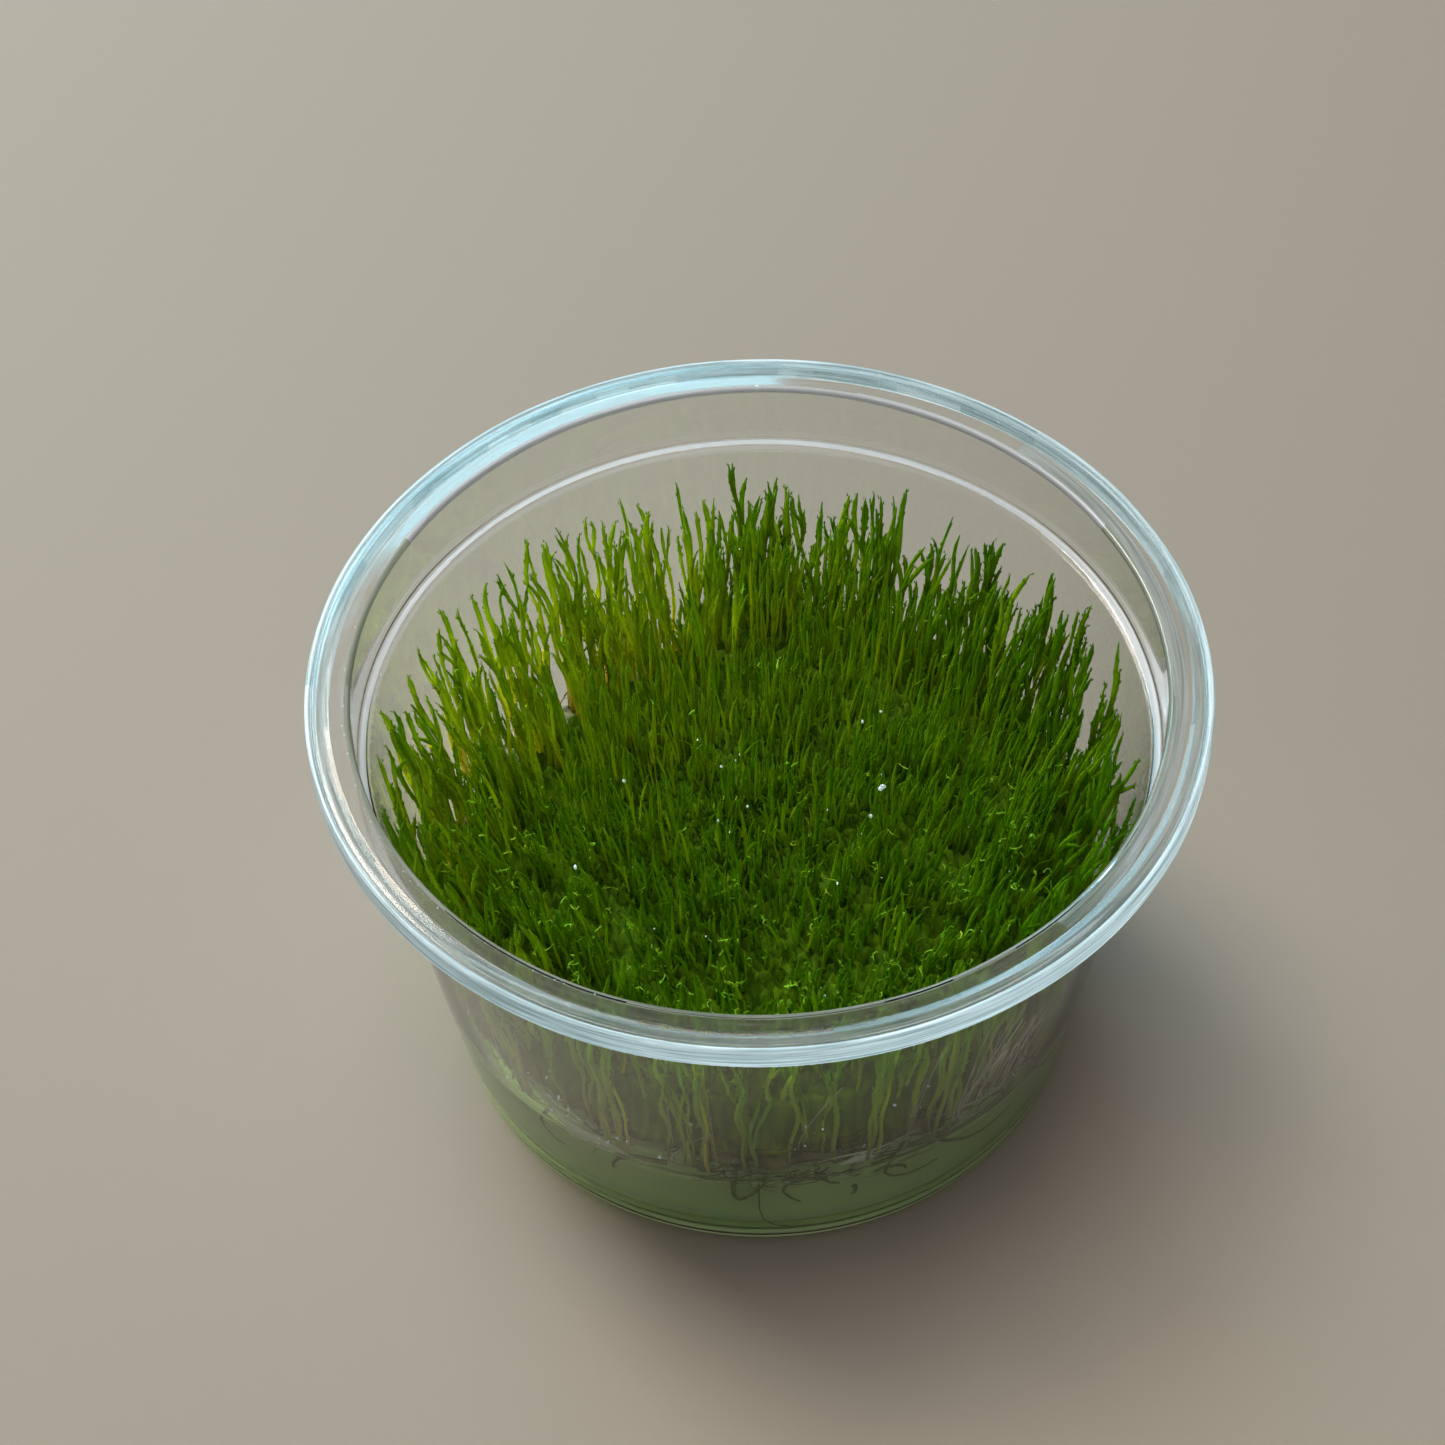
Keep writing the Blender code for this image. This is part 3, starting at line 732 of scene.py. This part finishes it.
turns = np.arange(PILE_TURNS) * math.tau / PILE_TURNS
pile_edge = PILE_REACH - 5.0 * sparseness(40 * np.cos(turns), 40 * np.sin(turns))
pile_edge += 0.3 * moss_rng.uniform(-1, 1, PILE_TURNS)
side_share = np.linspace(0, 1, PILE_SIDE_RINGS)[:, None]
edge_top = pile_height(pile_edge * np.cos(turns), pile_edge * np.sin(turns))
side_z = PILE_FOOT + (edge_top - PILE_FOOT) * side_share
side_reach = pile_edge + (wall_inside(side_z) - wall_inside(PILE_FOOT)) - 0.9 * side_share**3
side_reach += 0.15 * moss_rng.uniform(-1, 1, side_reach.shape)
top_share = np.linspace(1, 0.02, PILE_RINGS)[1:, None]
top_reach = side_reach[-1] * top_share
top_z = pile_height(top_reach * np.cos(turns), top_reach * np.sin(turns))
top_z += PILE_SPIKE * moss_rng.uniform(-1, 1, top_z.shape) * np.minimum(1, 12 * top_share)
pile_rings = at(np.concatenate([side_reach, top_reach]), turns, np.concatenate([side_z, top_z]))
hold_in(pile_rings, 0.9)
points, *faces = closed_rings(pile_rings, PILE_FOOT, pile_height(0, 0))
pile = new_piece("undergrowth", points, faces, pile_green_painted_shade)


# The shoots -----------------------------------------------------------------------------------
# Upright moss shoots stand in tufts on the mat. Each is a soft wavy ribbon, a stem clad in small pointed
# leaves that lie close along it. They fan out towards the wall, some fork near the top, and cracks run in
# between the tufts. Old parts are olive, tips dark green, and the curled young branchlets bright. The lower
# parts are also painted lighter than the tips, painted light where the clump's own shade falls. Shoots on
# the back left, the side the lights come from, are painted brighter and yellower, and the edges of ribbons
# and leaves are darker, partly their own colour and partly painted shade.

ROOT_HEIGHT = 14.0
ROOT_DEPTH = 3.2
WALL_BAND = 26.5
LONG_STEPS = 18
SHORT_STEPS = 11
SIDE_STEPS = 10
SPRIG_STEPS = 8
END_STEPS = 8
LONG_HALF_WIDTH = 0.25
SHORT_HALF_WIDTH = 0.155
SHOOT_FLATNESS = 0.75
SCALLOP = 0.14
TIP_TAPER = 1.4
LEAF_SPACING = 0.7
LEAF_LENGTH = 0.8
LEAF_WIDTH = 0.26
LEAF_KEEL = 0.07
LEAF_STRAY = 0.5
OUTWARD_BEND = 1.25
WALL_ROOM = 0.3
LEADING_REACH = 27
LEADING_RISE = 1.7
SPRIG_REACH = 29.5
BRANCHLET_SIZE = 0.42

# How each kind of stand grows: shoots on a prong, how far below its top the lowest ends, how far apart they
# stand, steps along a shoot, its side shoots and how far these stand off, half its width, the size of its
# leaves, its bare share, and where its foot starts on the ramp of age colours and painted light
STANDS = {
    "sparse": (3, 8.0, 1.0, LONG_STEPS, 0.9, 1.2, LONG_HALF_WIDTH, 0.9, 0.2, 0.0),
    "by_wall": (4, 6.0, 1.2, LONG_STEPS, 1.3, 1.2, LONG_HALF_WIDTH, 0.9, 0.35, 0.0),
    "middle": (17, 5.5, 1.8, SHORT_STEPS, 0.2, 0.8, SHORT_HALF_WIDTH, 0.55, 0.3, 0.45),
}

moss_green, tree = new_material("moss_green")
# Colours along a shoot: partly its age, partly painted light, with the lower parts painted lighter
ages_and_painted_light = ramp(
    tree, stored(tree, "along"), (0.0, 0.37, 0.38, 0.09), (0.18, 0.48, 0.54, 0.06), (0.5, 0.45, 0.62, 0.011),
    (0.85, 0.295, 0.495, 0.005), (1.0, 0.13, 0.275, 0.006))
kinds = ramp(
    tree, stored(tree, "shade"), (0.0, 0.56, 0.80, 0.8), (0.5, 1.0, 1.0, 1.0), (1.0, 1.90, 1.38, 2.6))
varied = mixed(tree, 1.0, ages_and_painted_light, kinds, "MULTIPLY")
young = mixed(tree, stored(tree, "fresh"), varied, (0.45, 0.85, 0.08, 1.0))
# Edges of ribbons and leaves are darker: partly their own colour, partly painted shade
edge_tone_and_painted_shade = ranged(tree, stored(tree, "edge"), 0.0, 1.0, 1.06, 0.86)
toned = node(
    tree, "ShaderNodeVectorMath", {0: young, "Scale": edge_tone_and_painted_shade}, operation="SCALE").outputs[0]
green = principled(tree, toned, 0.42, {"Specular IOR Level": 0.12})
set_surface(tree, lit_through(tree, green, toned, 0.6))


def prong_tips(name):
    """The middles of a tuft's flat prong tips, each of which lies at a height of its own."""
    tips = {}
    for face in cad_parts[name].data.polygons:
        if face.normal.z > 0.99:
            tips.setdefault(round(face.center.z / MM, 3), []).append(tuple(face.center))
    return np.array([np.mean(centres, axis=0) for centres in tips.values()]) / MM


def shoot_paths(roots, tips, steps, rng):
    """The wavy middle lines of upright shoots from their roots to their tips. Short ones wave less."""
    liveliness = 1.0 if steps == LONG_STEPS else 0.5
    share = np.linspace(0, 1, steps)[None, :]
    count = len(roots)
    paths = roots[:, None] + (tips - roots)[:, None] * share[..., None]
    paths[..., :2] = roots[:, None, :2] + (tips - roots)[:, None, :2] * share[..., None] ** OUTWARD_BEND
    bow = share * (1 - share) * 4
    length = tips[:, 2:] - roots[:, 2:]
    for axis in (0, 1):
        wave = rng.uniform(0.10, 0.36, (count, 1)) * np.sin(
            length * share * math.tau / rng.uniform(8, 14, (count, 1)) + rng.uniform(0, math.tau, (count, 1)))
        hook = rng.normal(0, 0.6, (count, 1)) * share**5 * liveliness
        paths[..., axis] += wave * liveliness * np.minimum(1, 3 * share) + hook
        paths[..., axis] += rng.normal(0, 0.25, (count, 1)) * bow * liveliness
    return paths


def curled_paths(starts, aims, lengths, curls, rng):
    """Short lines that set off from starts towards aims and curl by an angle over their lengths."""
    share = np.linspace(0, 1, SPRIG_STEPS)[None, :, None]
    aims = unit(aims)
    aside = unit(np.cross(aims, rng.normal(0, 1, aims.shape)))
    bend = curls[:, None, None] * share
    heading = aims[:, None] * np.cos(bend) + aside[:, None] * np.sin(bend)
    steps = heading * (lengths[:, None, None] / (SPRIG_STEPS - 1))
    return starts[:, None] + np.cumsum(steps, axis=1) - steps[:, :1]


def wide_ways(paths, rng):
    """The way in which each shoot is widest at each step, square to its path and turning slowly along it."""
    along = unit(np.gradient(paths, axis=1))
    across = unit(np.cross(along, [0.37, 0.81, 0.45]))
    share = np.linspace(0, 1, paths.shape[1])[None]
    turn = rng.uniform(0, math.tau, (len(paths), 1)) + rng.normal(0, 1.2, (len(paths), 1)) * share
    return across * np.cos(turn)[..., None] + np.cross(along, across) * np.sin(turn)[..., None]


def half_widths(paths, wide, rng):
    """Half the width of each shoot at each step: thin at its foot, scalloped a little, blunt at its tip."""
    share = np.linspace(0, 1, paths.shape[1])[None]
    lengths = np.linalg.norm(np.diff(paths, axis=1), axis=2).sum(axis=1)[:, None]
    taper = np.clip((1 - share) * lengths / np.minimum(TIP_TAPER, 0.6 * lengths), 0.04, 1) ** 0.5
    foot = np.clip(0.7 + 3 * share, 0.7, 1)
    return wide[:, None] * taper * foot * (1 + SCALLOP * rng.uniform(-1, 1, (len(paths), paths.shape[1])))


def leaves(paths, ways, widths, bare, spread, size, rng):
    """Pointed keeled leaves that stand a little off both edges of shoots, above the bare share of each."""
    bare = np.full(len(paths), bare)
    steps = paths.shape[1]
    lengths = np.linalg.norm(np.diff(paths, axis=1), axis=2).sum(axis=1)
    counts = np.maximum(3, ((1 - bare) * lengths / (LEAF_SPACING * size**0.5)).astype(int))
    shoot = np.repeat(np.arange(len(paths)), counts)
    order = np.concatenate([np.arange(count) for count in counts])
    share = bare[shoot] + (1 - bare[shoot]) * (order + rng.uniform(0, 0.8, len(order))) / counts[shoot]
    share = np.minimum(share, 0.995)
    place = share * (steps - 1)
    step = np.minimum(place.astype(int), steps - 2)
    part = (place - step)[:, None]
    spot = paths[shoot, step] * (1 - part) + paths[shoot, step + 1] * part
    along = unit(paths[shoot, step + 1] - paths[shoot, step])
    turn = math.pi * (order % 2) + rng.normal(0, LEAF_STRAY, len(order))
    way = ways[shoot, step]
    out = way * np.cos(turn)[:, None] + np.cross(along, way) * np.sin(turn)[:, None]
    side = np.cross(along, out)
    angle = spread[shoot] + rng.normal(0, 0.06, len(order))
    grown = size * rng.uniform(0.8, 1.2, len(order)) * (1 - 0.3 * np.clip((share - 0.85) / 0.15, 0, 1))
    axis = along * np.cos(angle)[:, None] + out * np.sin(angle)[:, None]
    blade = out * np.cos(angle)[:, None] - along * np.sin(angle)[:, None]
    roll = rng.normal(0, 0.6, len(order))[:, None]
    wide_way = blade * np.cos(roll) + side * np.sin(roll)
    face = np.cross(axis, wide_way)
    long = (LEAF_LENGTH * grown)[:, None]
    wide = (LEAF_WIDTH * grown)[:, None] / 2
    keel = (LEAF_KEEL * grown)[:, None]
    foot = spot + out * (widths[shoot, step] * 0.6)[:, None]
    waist = foot + axis * long * 0.42
    edge_way = np.cross(face, axis)
    corners = np.stack([
        foot, waist + face * keel - edge_way * wide, waist + face * keel + edge_way * wide, foot + axis * long
    ], axis=1)
    start = (np.arange(len(order)) * 4)[:, None, None]
    sheet = np.array([[0, 1, 2], [3, 2, 1], [0, 3, 1], [0, 2, 3]])
    at_edge = np.tile([0.35, 0.6, 0.6, 1.0], len(order))
    faces = (start + sheet).reshape(-1, 3)
    return (corners.reshape(-1, 3), faces), np.repeat(share, 4), at_edge, np.repeat(shoot, 4)


def leafy(paths, wide, bare, spread, size, rng):
    """Shoots along paths, with how far up each point is, how near an edge it is, and its shoot."""
    ways = wide_ways(paths, rng)
    widths = half_widths(paths, wide, rng)
    ribbon = tubes(paths, widths, sides=4, across=ways, flatness=SHOOT_FLATNESS)
    foliage, leaf_share, leaf_edge, leaf_shoot = leaves(paths, ways, widths, bare, spread, size, rng)
    steps = paths.shape[1]
    share = np.concatenate([np.repeat(np.tile(np.linspace(0, 1, steps), len(paths)), 4), leaf_share])
    edge = np.concatenate([np.tile([1.0, 0.0, 1.0, 0.0], len(paths) * steps), leaf_edge])
    shoot = np.concatenate([np.repeat(np.arange(len(paths)), steps * 4), leaf_shoot])
    return joined([ribbon, foliage]), share, edge, shoot


def upright_shoots(prongs, per_prong, lowest, apart, steps, rng):
    """The paths of the shoots on the prongs of a tuft, the first of each at the prong's own tip."""
    tips = np.repeat(prongs, per_prong, axis=0)
    first = np.tile(np.arange(per_prong), len(prongs)) == 0
    strayed = np.where(first, 0.3, apart * rng.uniform(0.3, 1.0, len(tips)) ** 0.5)
    swing = rng.uniform(0, math.tau, len(tips))
    tips[:, 0] += strayed * np.cos(swing)
    tips[:, 1] += strayed * np.sin(swing)
    tips[:, 2] -= np.where(first, 0.1, rng.uniform(0.3, lowest, len(tips)))
    reach = np.hypot(tips[:, 0], tips[:, 1])
    leading = first & (reach > LEADING_REACH)
    tips[:, 2] += np.where(leading, rng.uniform(0.2, LEADING_RISE, len(tips)), 0)
    tips[:, :2] *= np.where(leading, 1.05, 1)[:, None]
    roots = tips.copy()
    long = steps == LONG_STEPS
    roots[:, :2] *= np.where(long, 0.86 + 0.045 * np.clip((reach - 22) / 10, 0, 1), 0.93)[:, None]
    roots[:, :2] += rng.normal(0, 0.4, (len(roots), 2))
    roots[:, 2] = ROOT_HEIGHT if long else pile_height(roots[:, 0], roots[:, 1]) - ROOT_DEPTH
    roots[:, 2] += rng.uniform(-0.8, 0.6, len(roots))
    return hold_in(shoot_paths(roots, tips, steps, rng), WALL_ROOM)


def side_shoots(paths, mothers, low, spread, rng):
    """Side shoots that leave these mother shoots above a share of their height and rise beside them."""
    steps = paths.shape[1]
    step = (rng.uniform(low, 0.85, len(mothers)) * (steps - 1)).astype(int)
    roots = paths[mothers, step]
    heading = unit(paths[mothers, -1] - roots + [0, 0, 1])
    lengths = paths[mothers, -1, 2] - roots[:, 2] + rng.uniform(-2.5, 0.6, len(mothers))
    aside = rng.uniform(0, math.tau, len(mothers))
    spread = spread * rng.uniform(0.5, 1.3, len(mothers))
    tips = roots + heading * np.maximum(lengths, 2.0)[:, None]
    tips[:, 0] += spread * np.cos(aside)
    tips[:, 1] += spread * np.sin(aside)
    return hold_in(shoot_paths(roots, tips, SIDE_STEPS, rng), WALL_ROOM), step / (steps - 1)


def tuft_of_shoots(name, rng):
    """All the shoots of one tuft as one piece. Returns the upper ends of their lines.

    Those by the wall are seen down to the mat, so they are long. The others rise from the pile, and they are
    finer.
    """
    prongs = prong_tips(name)
    middle = prongs.mean(axis=0)
    sparse = sparseness(middle[0], middle[1]) > 0.45 and np.hypot(middle[0], middle[1]) > 20
    near = np.clip((6 - middle[1]) / 22, 0, 1)
    # Tufts at the back left, the side the lights come from, are painted brighter and yellower: painted light
    warmth_and_painted_light = 0.46 + 0.16 * middle[1] / 30 - 0.18 * middle[0] / 30 + 0.20 * sparseness(middle[0], middle[1])
    by_wall = (np.hypot(prongs[:, 0], prongs[:, 1]) > WALL_BAND) | sparse
    sets, ends = [], []
    for group, kind in ((prongs[by_wall], "sparse" if sparse else "by_wall"), (prongs[~by_wall], "middle")):
        if len(group) == 0:
            continue
        per_prong, lowest, apart, steps, per_shoot, aside, half_width, size, bare, age = STANDS[kind]
        paths = upright_shoots(group, per_prong, lowest, apart, steps, rng)
        mothers = np.repeat(np.arange(len(paths)), rng.poisson(per_shoot, len(paths)))
        side_paths, side_start = side_shoots(paths, mothers, 0.3, aside, rng)
        shoot_shade = np.clip(rng.normal(warmth_and_painted_light, 0.15, len(paths)), 0, 1)
        side_shade = np.clip(shoot_shade[mothers] + rng.normal(0, 0.08, len(mothers)), 0, 1)
        spread = rng.uniform(0.14, 0.27, len(paths)) + 0.04 * near
        wide = half_width * rng.uniform(0.82, 1.15, len(paths))
        sets.append((
            paths, wide, bare, spread, size, shoot_shade, np.zeros(len(paths)), np.full(len(paths), age)))
        sets.append((
            side_paths, 0.85 * wide[mothers], 0.1, spread[mothers], 0.85 * size, side_shade,
            np.zeros(len(mothers)), age + (1 - age) * side_start))
        ends.append(paths[:, -END_STEPS:])

    ends = np.concatenate(ends)
    sprigs = int(6 + 50 * near)
    away_from_wall = ends[np.hypot(ends[:, -1, 0], ends[:, -1, 1]) < SPRIG_REACH]
    starts = away_from_wall[rng.integers(0, len(away_from_wall), sprigs), rng.integers(3, END_STEPS, sprigs)]
    aims = np.stack([
        rng.normal(0, 1, sprigs), rng.normal(-0.4, 1, sprigs), rng.uniform(0.2, 1.6, sprigs)], axis=-1)
    sprig_paths = hold_in(
        curled_paths(starts, aims, rng.uniform(0.5, 1.5, sprigs), rng.normal(0, 2.6, sprigs), rng), WALL_ROOM)
    sprig_paths[..., 2] = np.minimum(sprig_paths[..., 2], prongs[:, 2].max())
    sets.append((
        sprig_paths, rng.uniform(0.05, 0.09, sprigs), 0.0, rng.uniform(0.3, 0.8, sprigs), BRANCHLET_SIZE,
        rng.uniform(0.4, 1, sprigs), rng.uniform(0.15, 0.85, sprigs), np.full(sprigs, 0.8)))

    parts, values = [], {"along": [], "edge": [], "shade": [], "fresh": []}
    for lines, set_wide, bare, set_spread, size, set_shade, set_fresh, start_age in sets:
        (set_points, set_faces), share, set_edge, shoot = leafy(lines, set_wide, bare, set_spread, size, rng)
        parts.append((set_points, *set_faces))
        values["along"].append(start_age[shoot] + (1 - start_age[shoot]) * share)
        values["edge"].append(set_edge)
        values["shade"].append(set_shade[shoot])
        values["fresh"].append(set_fresh[shoot])
    points, faces = joined(parts)
    piece = new_piece(name.replace("tuft", "shoots"), points, faces, moss_green)
    smooth = np.concatenate([np.full(len(group), group.shape[1] == 4) for group in faces])
    piece.data.polygons.foreach_set("use_smooth", smooth)
    give_values(piece, {key: np.concatenate(value) for key, value in values.items()})
    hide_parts(name)
    return ends


all_ends = [
    tuft_of_shoots(name, moss_rng) for name in sorted(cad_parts) if name.startswith("moss_tuft")]


# The drops ------------------------------------------------------------------------------------
# Water stands in small drops on the shoots and the wall, and as specks on the rim, from when the cup was
# last opened. They are painted whitish, painted glints that show them as white specks.

DROP_RINGS = 4
DROP_TURNS = 7
SHOOT_DROPS = 60
WALL_DROPS = 80
RIM_SPECKS = 180

painted_glint_water, tree = new_material("painted_glint_water")
# The drops' white is a painted glint
painted_glint_whites = ramp(tree, noise(tree, 2500.0, 2.0), (0.35, 0.55, 0.68, 0.66), (0.65, 0.95, 1.0, 1.0))
water = principled(tree, painted_glint_whites, 0.05, {"IOR": 1.33, "Transmission Weight": 0.5})
set_surface(tree, water, shadow_tint=(0.9, 0.93, 0.93))


def drops_at(spots, sizes, squash):
    """Points and faces of round drops of these sizes, each flattened in height by a factor."""
    polar = np.linspace(0, math.pi, DROP_RINGS + 2)[1:-1, None]
    turn = np.arange(DROP_TURNS) * math.tau / DROP_TURNS
    ball, bands, fans = closed_rings(at(np.sin(polar), turn, -np.cos(polar)), -1, 1)
    half = np.stack([sizes, sizes, sizes * squash], axis=-1) / 2
    scale = half * moss_rng.uniform(0.55, 1.1, half.shape)
    points = spots[:, None] + ball * scale[:, None]
    start = (np.arange(len(spots)) * len(ball))[:, None, None]
    return points.reshape(-1, 3), (start + bands).reshape(-1, 4), (start + fans).reshape(-1, 3)


lines = np.concatenate(all_ends)
on_line = moss_rng.integers(0, len(lines), SHOOT_DROPS)
at_step = moss_rng.integers(1, END_STEPS, SHOOT_DROPS)
shoot_spots = lines[on_line, at_step] + moss_rng.normal(0, 0.3, (SHOOT_DROPS, 3))
shoot_sizes = moss_rng.uniform(0.12, 0.28, SHOOT_DROPS)

# A few larger drops, at places (x, y) and sizes of their own, hang on the tips of the nearest shoots
LARGE_DROPS = [
    (11.2, -2.0, 0.62), (10.5, -2.3, 0.5), (9.9, -2.6, 0.42), (8.4, -4.6, 0.32), (-12.6, 1.4, 0.42),
    (-16.6, -9.6, 0.46), (-16.7, -10.6, 0.3), (10.6, 2.3, 0.34), (-1.0, -0.8, 0.3), (-4.0, -3.6, 0.3),
    (-2.8, -3.6, 0.34), (-2.4, 4.6, 0.3), (11.8, 9.0, 0.4), (9.0, 7.2, 0.34), (-3.6, 1.0, 0.26),
    (7.0, -12.0, 0.3)]
tips = lines[:, -3:].reshape(-1, 3)
for wanted_x, wanted_y, size in LARGE_DROPS:
    aside = np.hypot(tips[:, 0] - wanted_x, tips[:, 1] - wanted_y)
    nearest = tips[np.argmin(aside + 0.15 * (tips[:, 2].max() - tips[:, 2]))]
    shoot_spots = np.concatenate([shoot_spots, [nearest - [0, 0.2, 0.1]]])
    shoot_sizes = np.append(shoot_sizes, size)

wall_turn = np.radians(moss_rng.uniform(-150, -35, WALL_DROPS))
wall_z = moss_rng.uniform(14.5, 26, WALL_DROPS)
clustered = np.arange(WALL_DROPS) % 3 == 0
wall_turn = np.where(clustered, np.radians(moss_rng.normal(-124, 7, WALL_DROPS)), wall_turn)
wall_z = np.where(clustered, moss_rng.uniform(13.5, 20, WALL_DROPS), wall_z)
wall_sizes = moss_rng.uniform(0.1, 0.32, WALL_DROPS) * np.where(clustered, 1.2, 0.9)
wall_spots = at(wall_inside(wall_z) - wall_sizes * 0.4, wall_turn, wall_z)

speck_turn = np.radians(moss_rng.uniform(120, 250, RIM_SPECKS))
speck_reach = np.where(
    np.arange(RIM_SPECKS) % 2 == 0, moss_rng.normal(MOUTH_RADIUS + 0.6, 0.07, RIM_SPECKS),
    moss_rng.normal(BEAD_INSIDE + 0.35, 0.12, RIM_SPECKS))
speck_turn = np.where(np.arange(RIM_SPECKS) % 4 == 1, speck_turn + math.pi, speck_turn)
speck_sizes = moss_rng.uniform(0.06, 0.17, RIM_SPECKS)
speck_z = np.where(speck_reach < BEAD_INSIDE, FLANGE_TOP, CUP_HEIGHT) - 0.03
speck_z = np.minimum(speck_z, CUP_HEIGHT - speck_sizes / 2)
# One large drop sits on the flange at the back
speck_turn[0] = math.radians(89.4)
speck_reach[0] = MOUTH_RADIUS + 0.35
speck_sizes[0] = 0.6
speck_z[0] = FLANGE_TOP - 0.1
speck_spots = at(speck_reach, speck_turn, speck_z)

points, faces = joined([
    drops_at(shoot_spots, shoot_sizes, 1.15),
    drops_at(wall_spots, wall_sizes, 1.0),
    drops_at(speck_spots, speck_sizes, 0.8),
])
drops = new_piece("water_drops", points, faces, painted_glint_water)


# The studio -----------------------------------------------------------------------------------
# A plain pale floor, a cool window light and warmer daylight from behind on the left, a soft ceiling light, a
# faint fill from the front, and a camera that looks down at the cup from the front.

FLOOR_HALF = 1.5
floor_mesh = bpy.data.meshes.new("floor")
floor_corners = [(x * FLOOR_HALF, y * FLOOR_HALF, 0) for x, y in ((-1, -1), (1, -1), (1, 1), (-1, 1))]
floor_mesh.from_pydata(floor_corners, [], [(0, 1, 2, 3)])
pale_floor, tree = new_material("pale_floor")
set_surface(tree, principled(tree, (0.215, 0.180, 0.143, 1.0), 0.7))
floor_mesh.materials.append(pale_floor)
floor = bpy.data.objects.new("floor", floor_mesh)
bpy.context.scene.collection.objects.link(floor)

world = bpy.data.worlds.new("soft_room")
bpy.context.scene.world = world
world.use_nodes = True
background = world.node_tree.nodes["Background"].inputs
background["Color"].default_value = (1.0, 0.99, 0.97, 1.0)
background["Strength"].default_value = 0.22


def soft_light(name, azimuth, elevation, distance, size, watts, colour):
    """A soft square light that faces the cup, from an azimuth in degrees round from +X and an elevation."""
    turn, lift = math.radians(azimuth), math.radians(elevation)
    light = bpy.data.lights.new(name, "AREA")
    light.shape = "RECTANGLE"
    light.size, light.size_y = size
    light.energy = watts
    light.color = colour
    lamp = bpy.data.objects.new(name, light)
    spot = (
        distance * math.cos(turn) * math.cos(lift),
        distance * math.sin(turn) * math.cos(lift),
        distance * math.sin(lift),
    )
    facing = Matrix.Rotation(turn + math.pi / 2, 4, "Z") @ Matrix.Rotation(math.pi / 2 - lift, 4, "X")
    lamp.matrix_world = Matrix.Translation(spot) @ facing
    bpy.context.scene.collection.objects.link(lamp)


soft_light("window", 113.5, 36.5, 1.0, (0.62, 0.42), 5.5, (0.30, 0.78, 1.0))
soft_light("daylight", 136, 50, 1.0, (0.40, 0.40), 11.0, (1.0, 0.94, 0.86))
soft_light("ceiling", 93, 83, 1.1, (0.6, 0.6), 4.5, (1.0, 0.98, 0.95))
soft_light("fill", 268, 36, 1.0, (0.7, 0.3), 1.6, (0.97, 0.96, 1.0))

CAMERA_PLACE = (0.0, -0.2006, 0.2794)
CAMERA_PITCH = 50.11
CAMERA_YAW = 0.937
CAMERA_ROLL = -1.786
camera_data = bpy.data.cameras.new("camera")
camera_data.lens = 87.197
camera_data.sensor_width = 36.0
camera_data.clip_start = 0.01
camera = bpy.data.objects.new("camera", camera_data)
look = Matrix.Rotation(math.radians(CAMERA_YAW), 4, "Z")
look = look @ Matrix.Rotation(math.radians(90 - CAMERA_PITCH), 4, "X")
roll = Matrix.Rotation(math.radians(CAMERA_ROLL), 4, "Z")
camera.matrix_world = Matrix.Translation(CAMERA_PLACE) @ look @ roll
bpy.context.scene.collection.objects.link(camera)
bpy.context.scene.camera = camera
bpy.context.scene.view_settings.view_transform = "Standard"


# The scene is brought up to date --------------------------------------------------------------

bpy.context.view_layer.update()
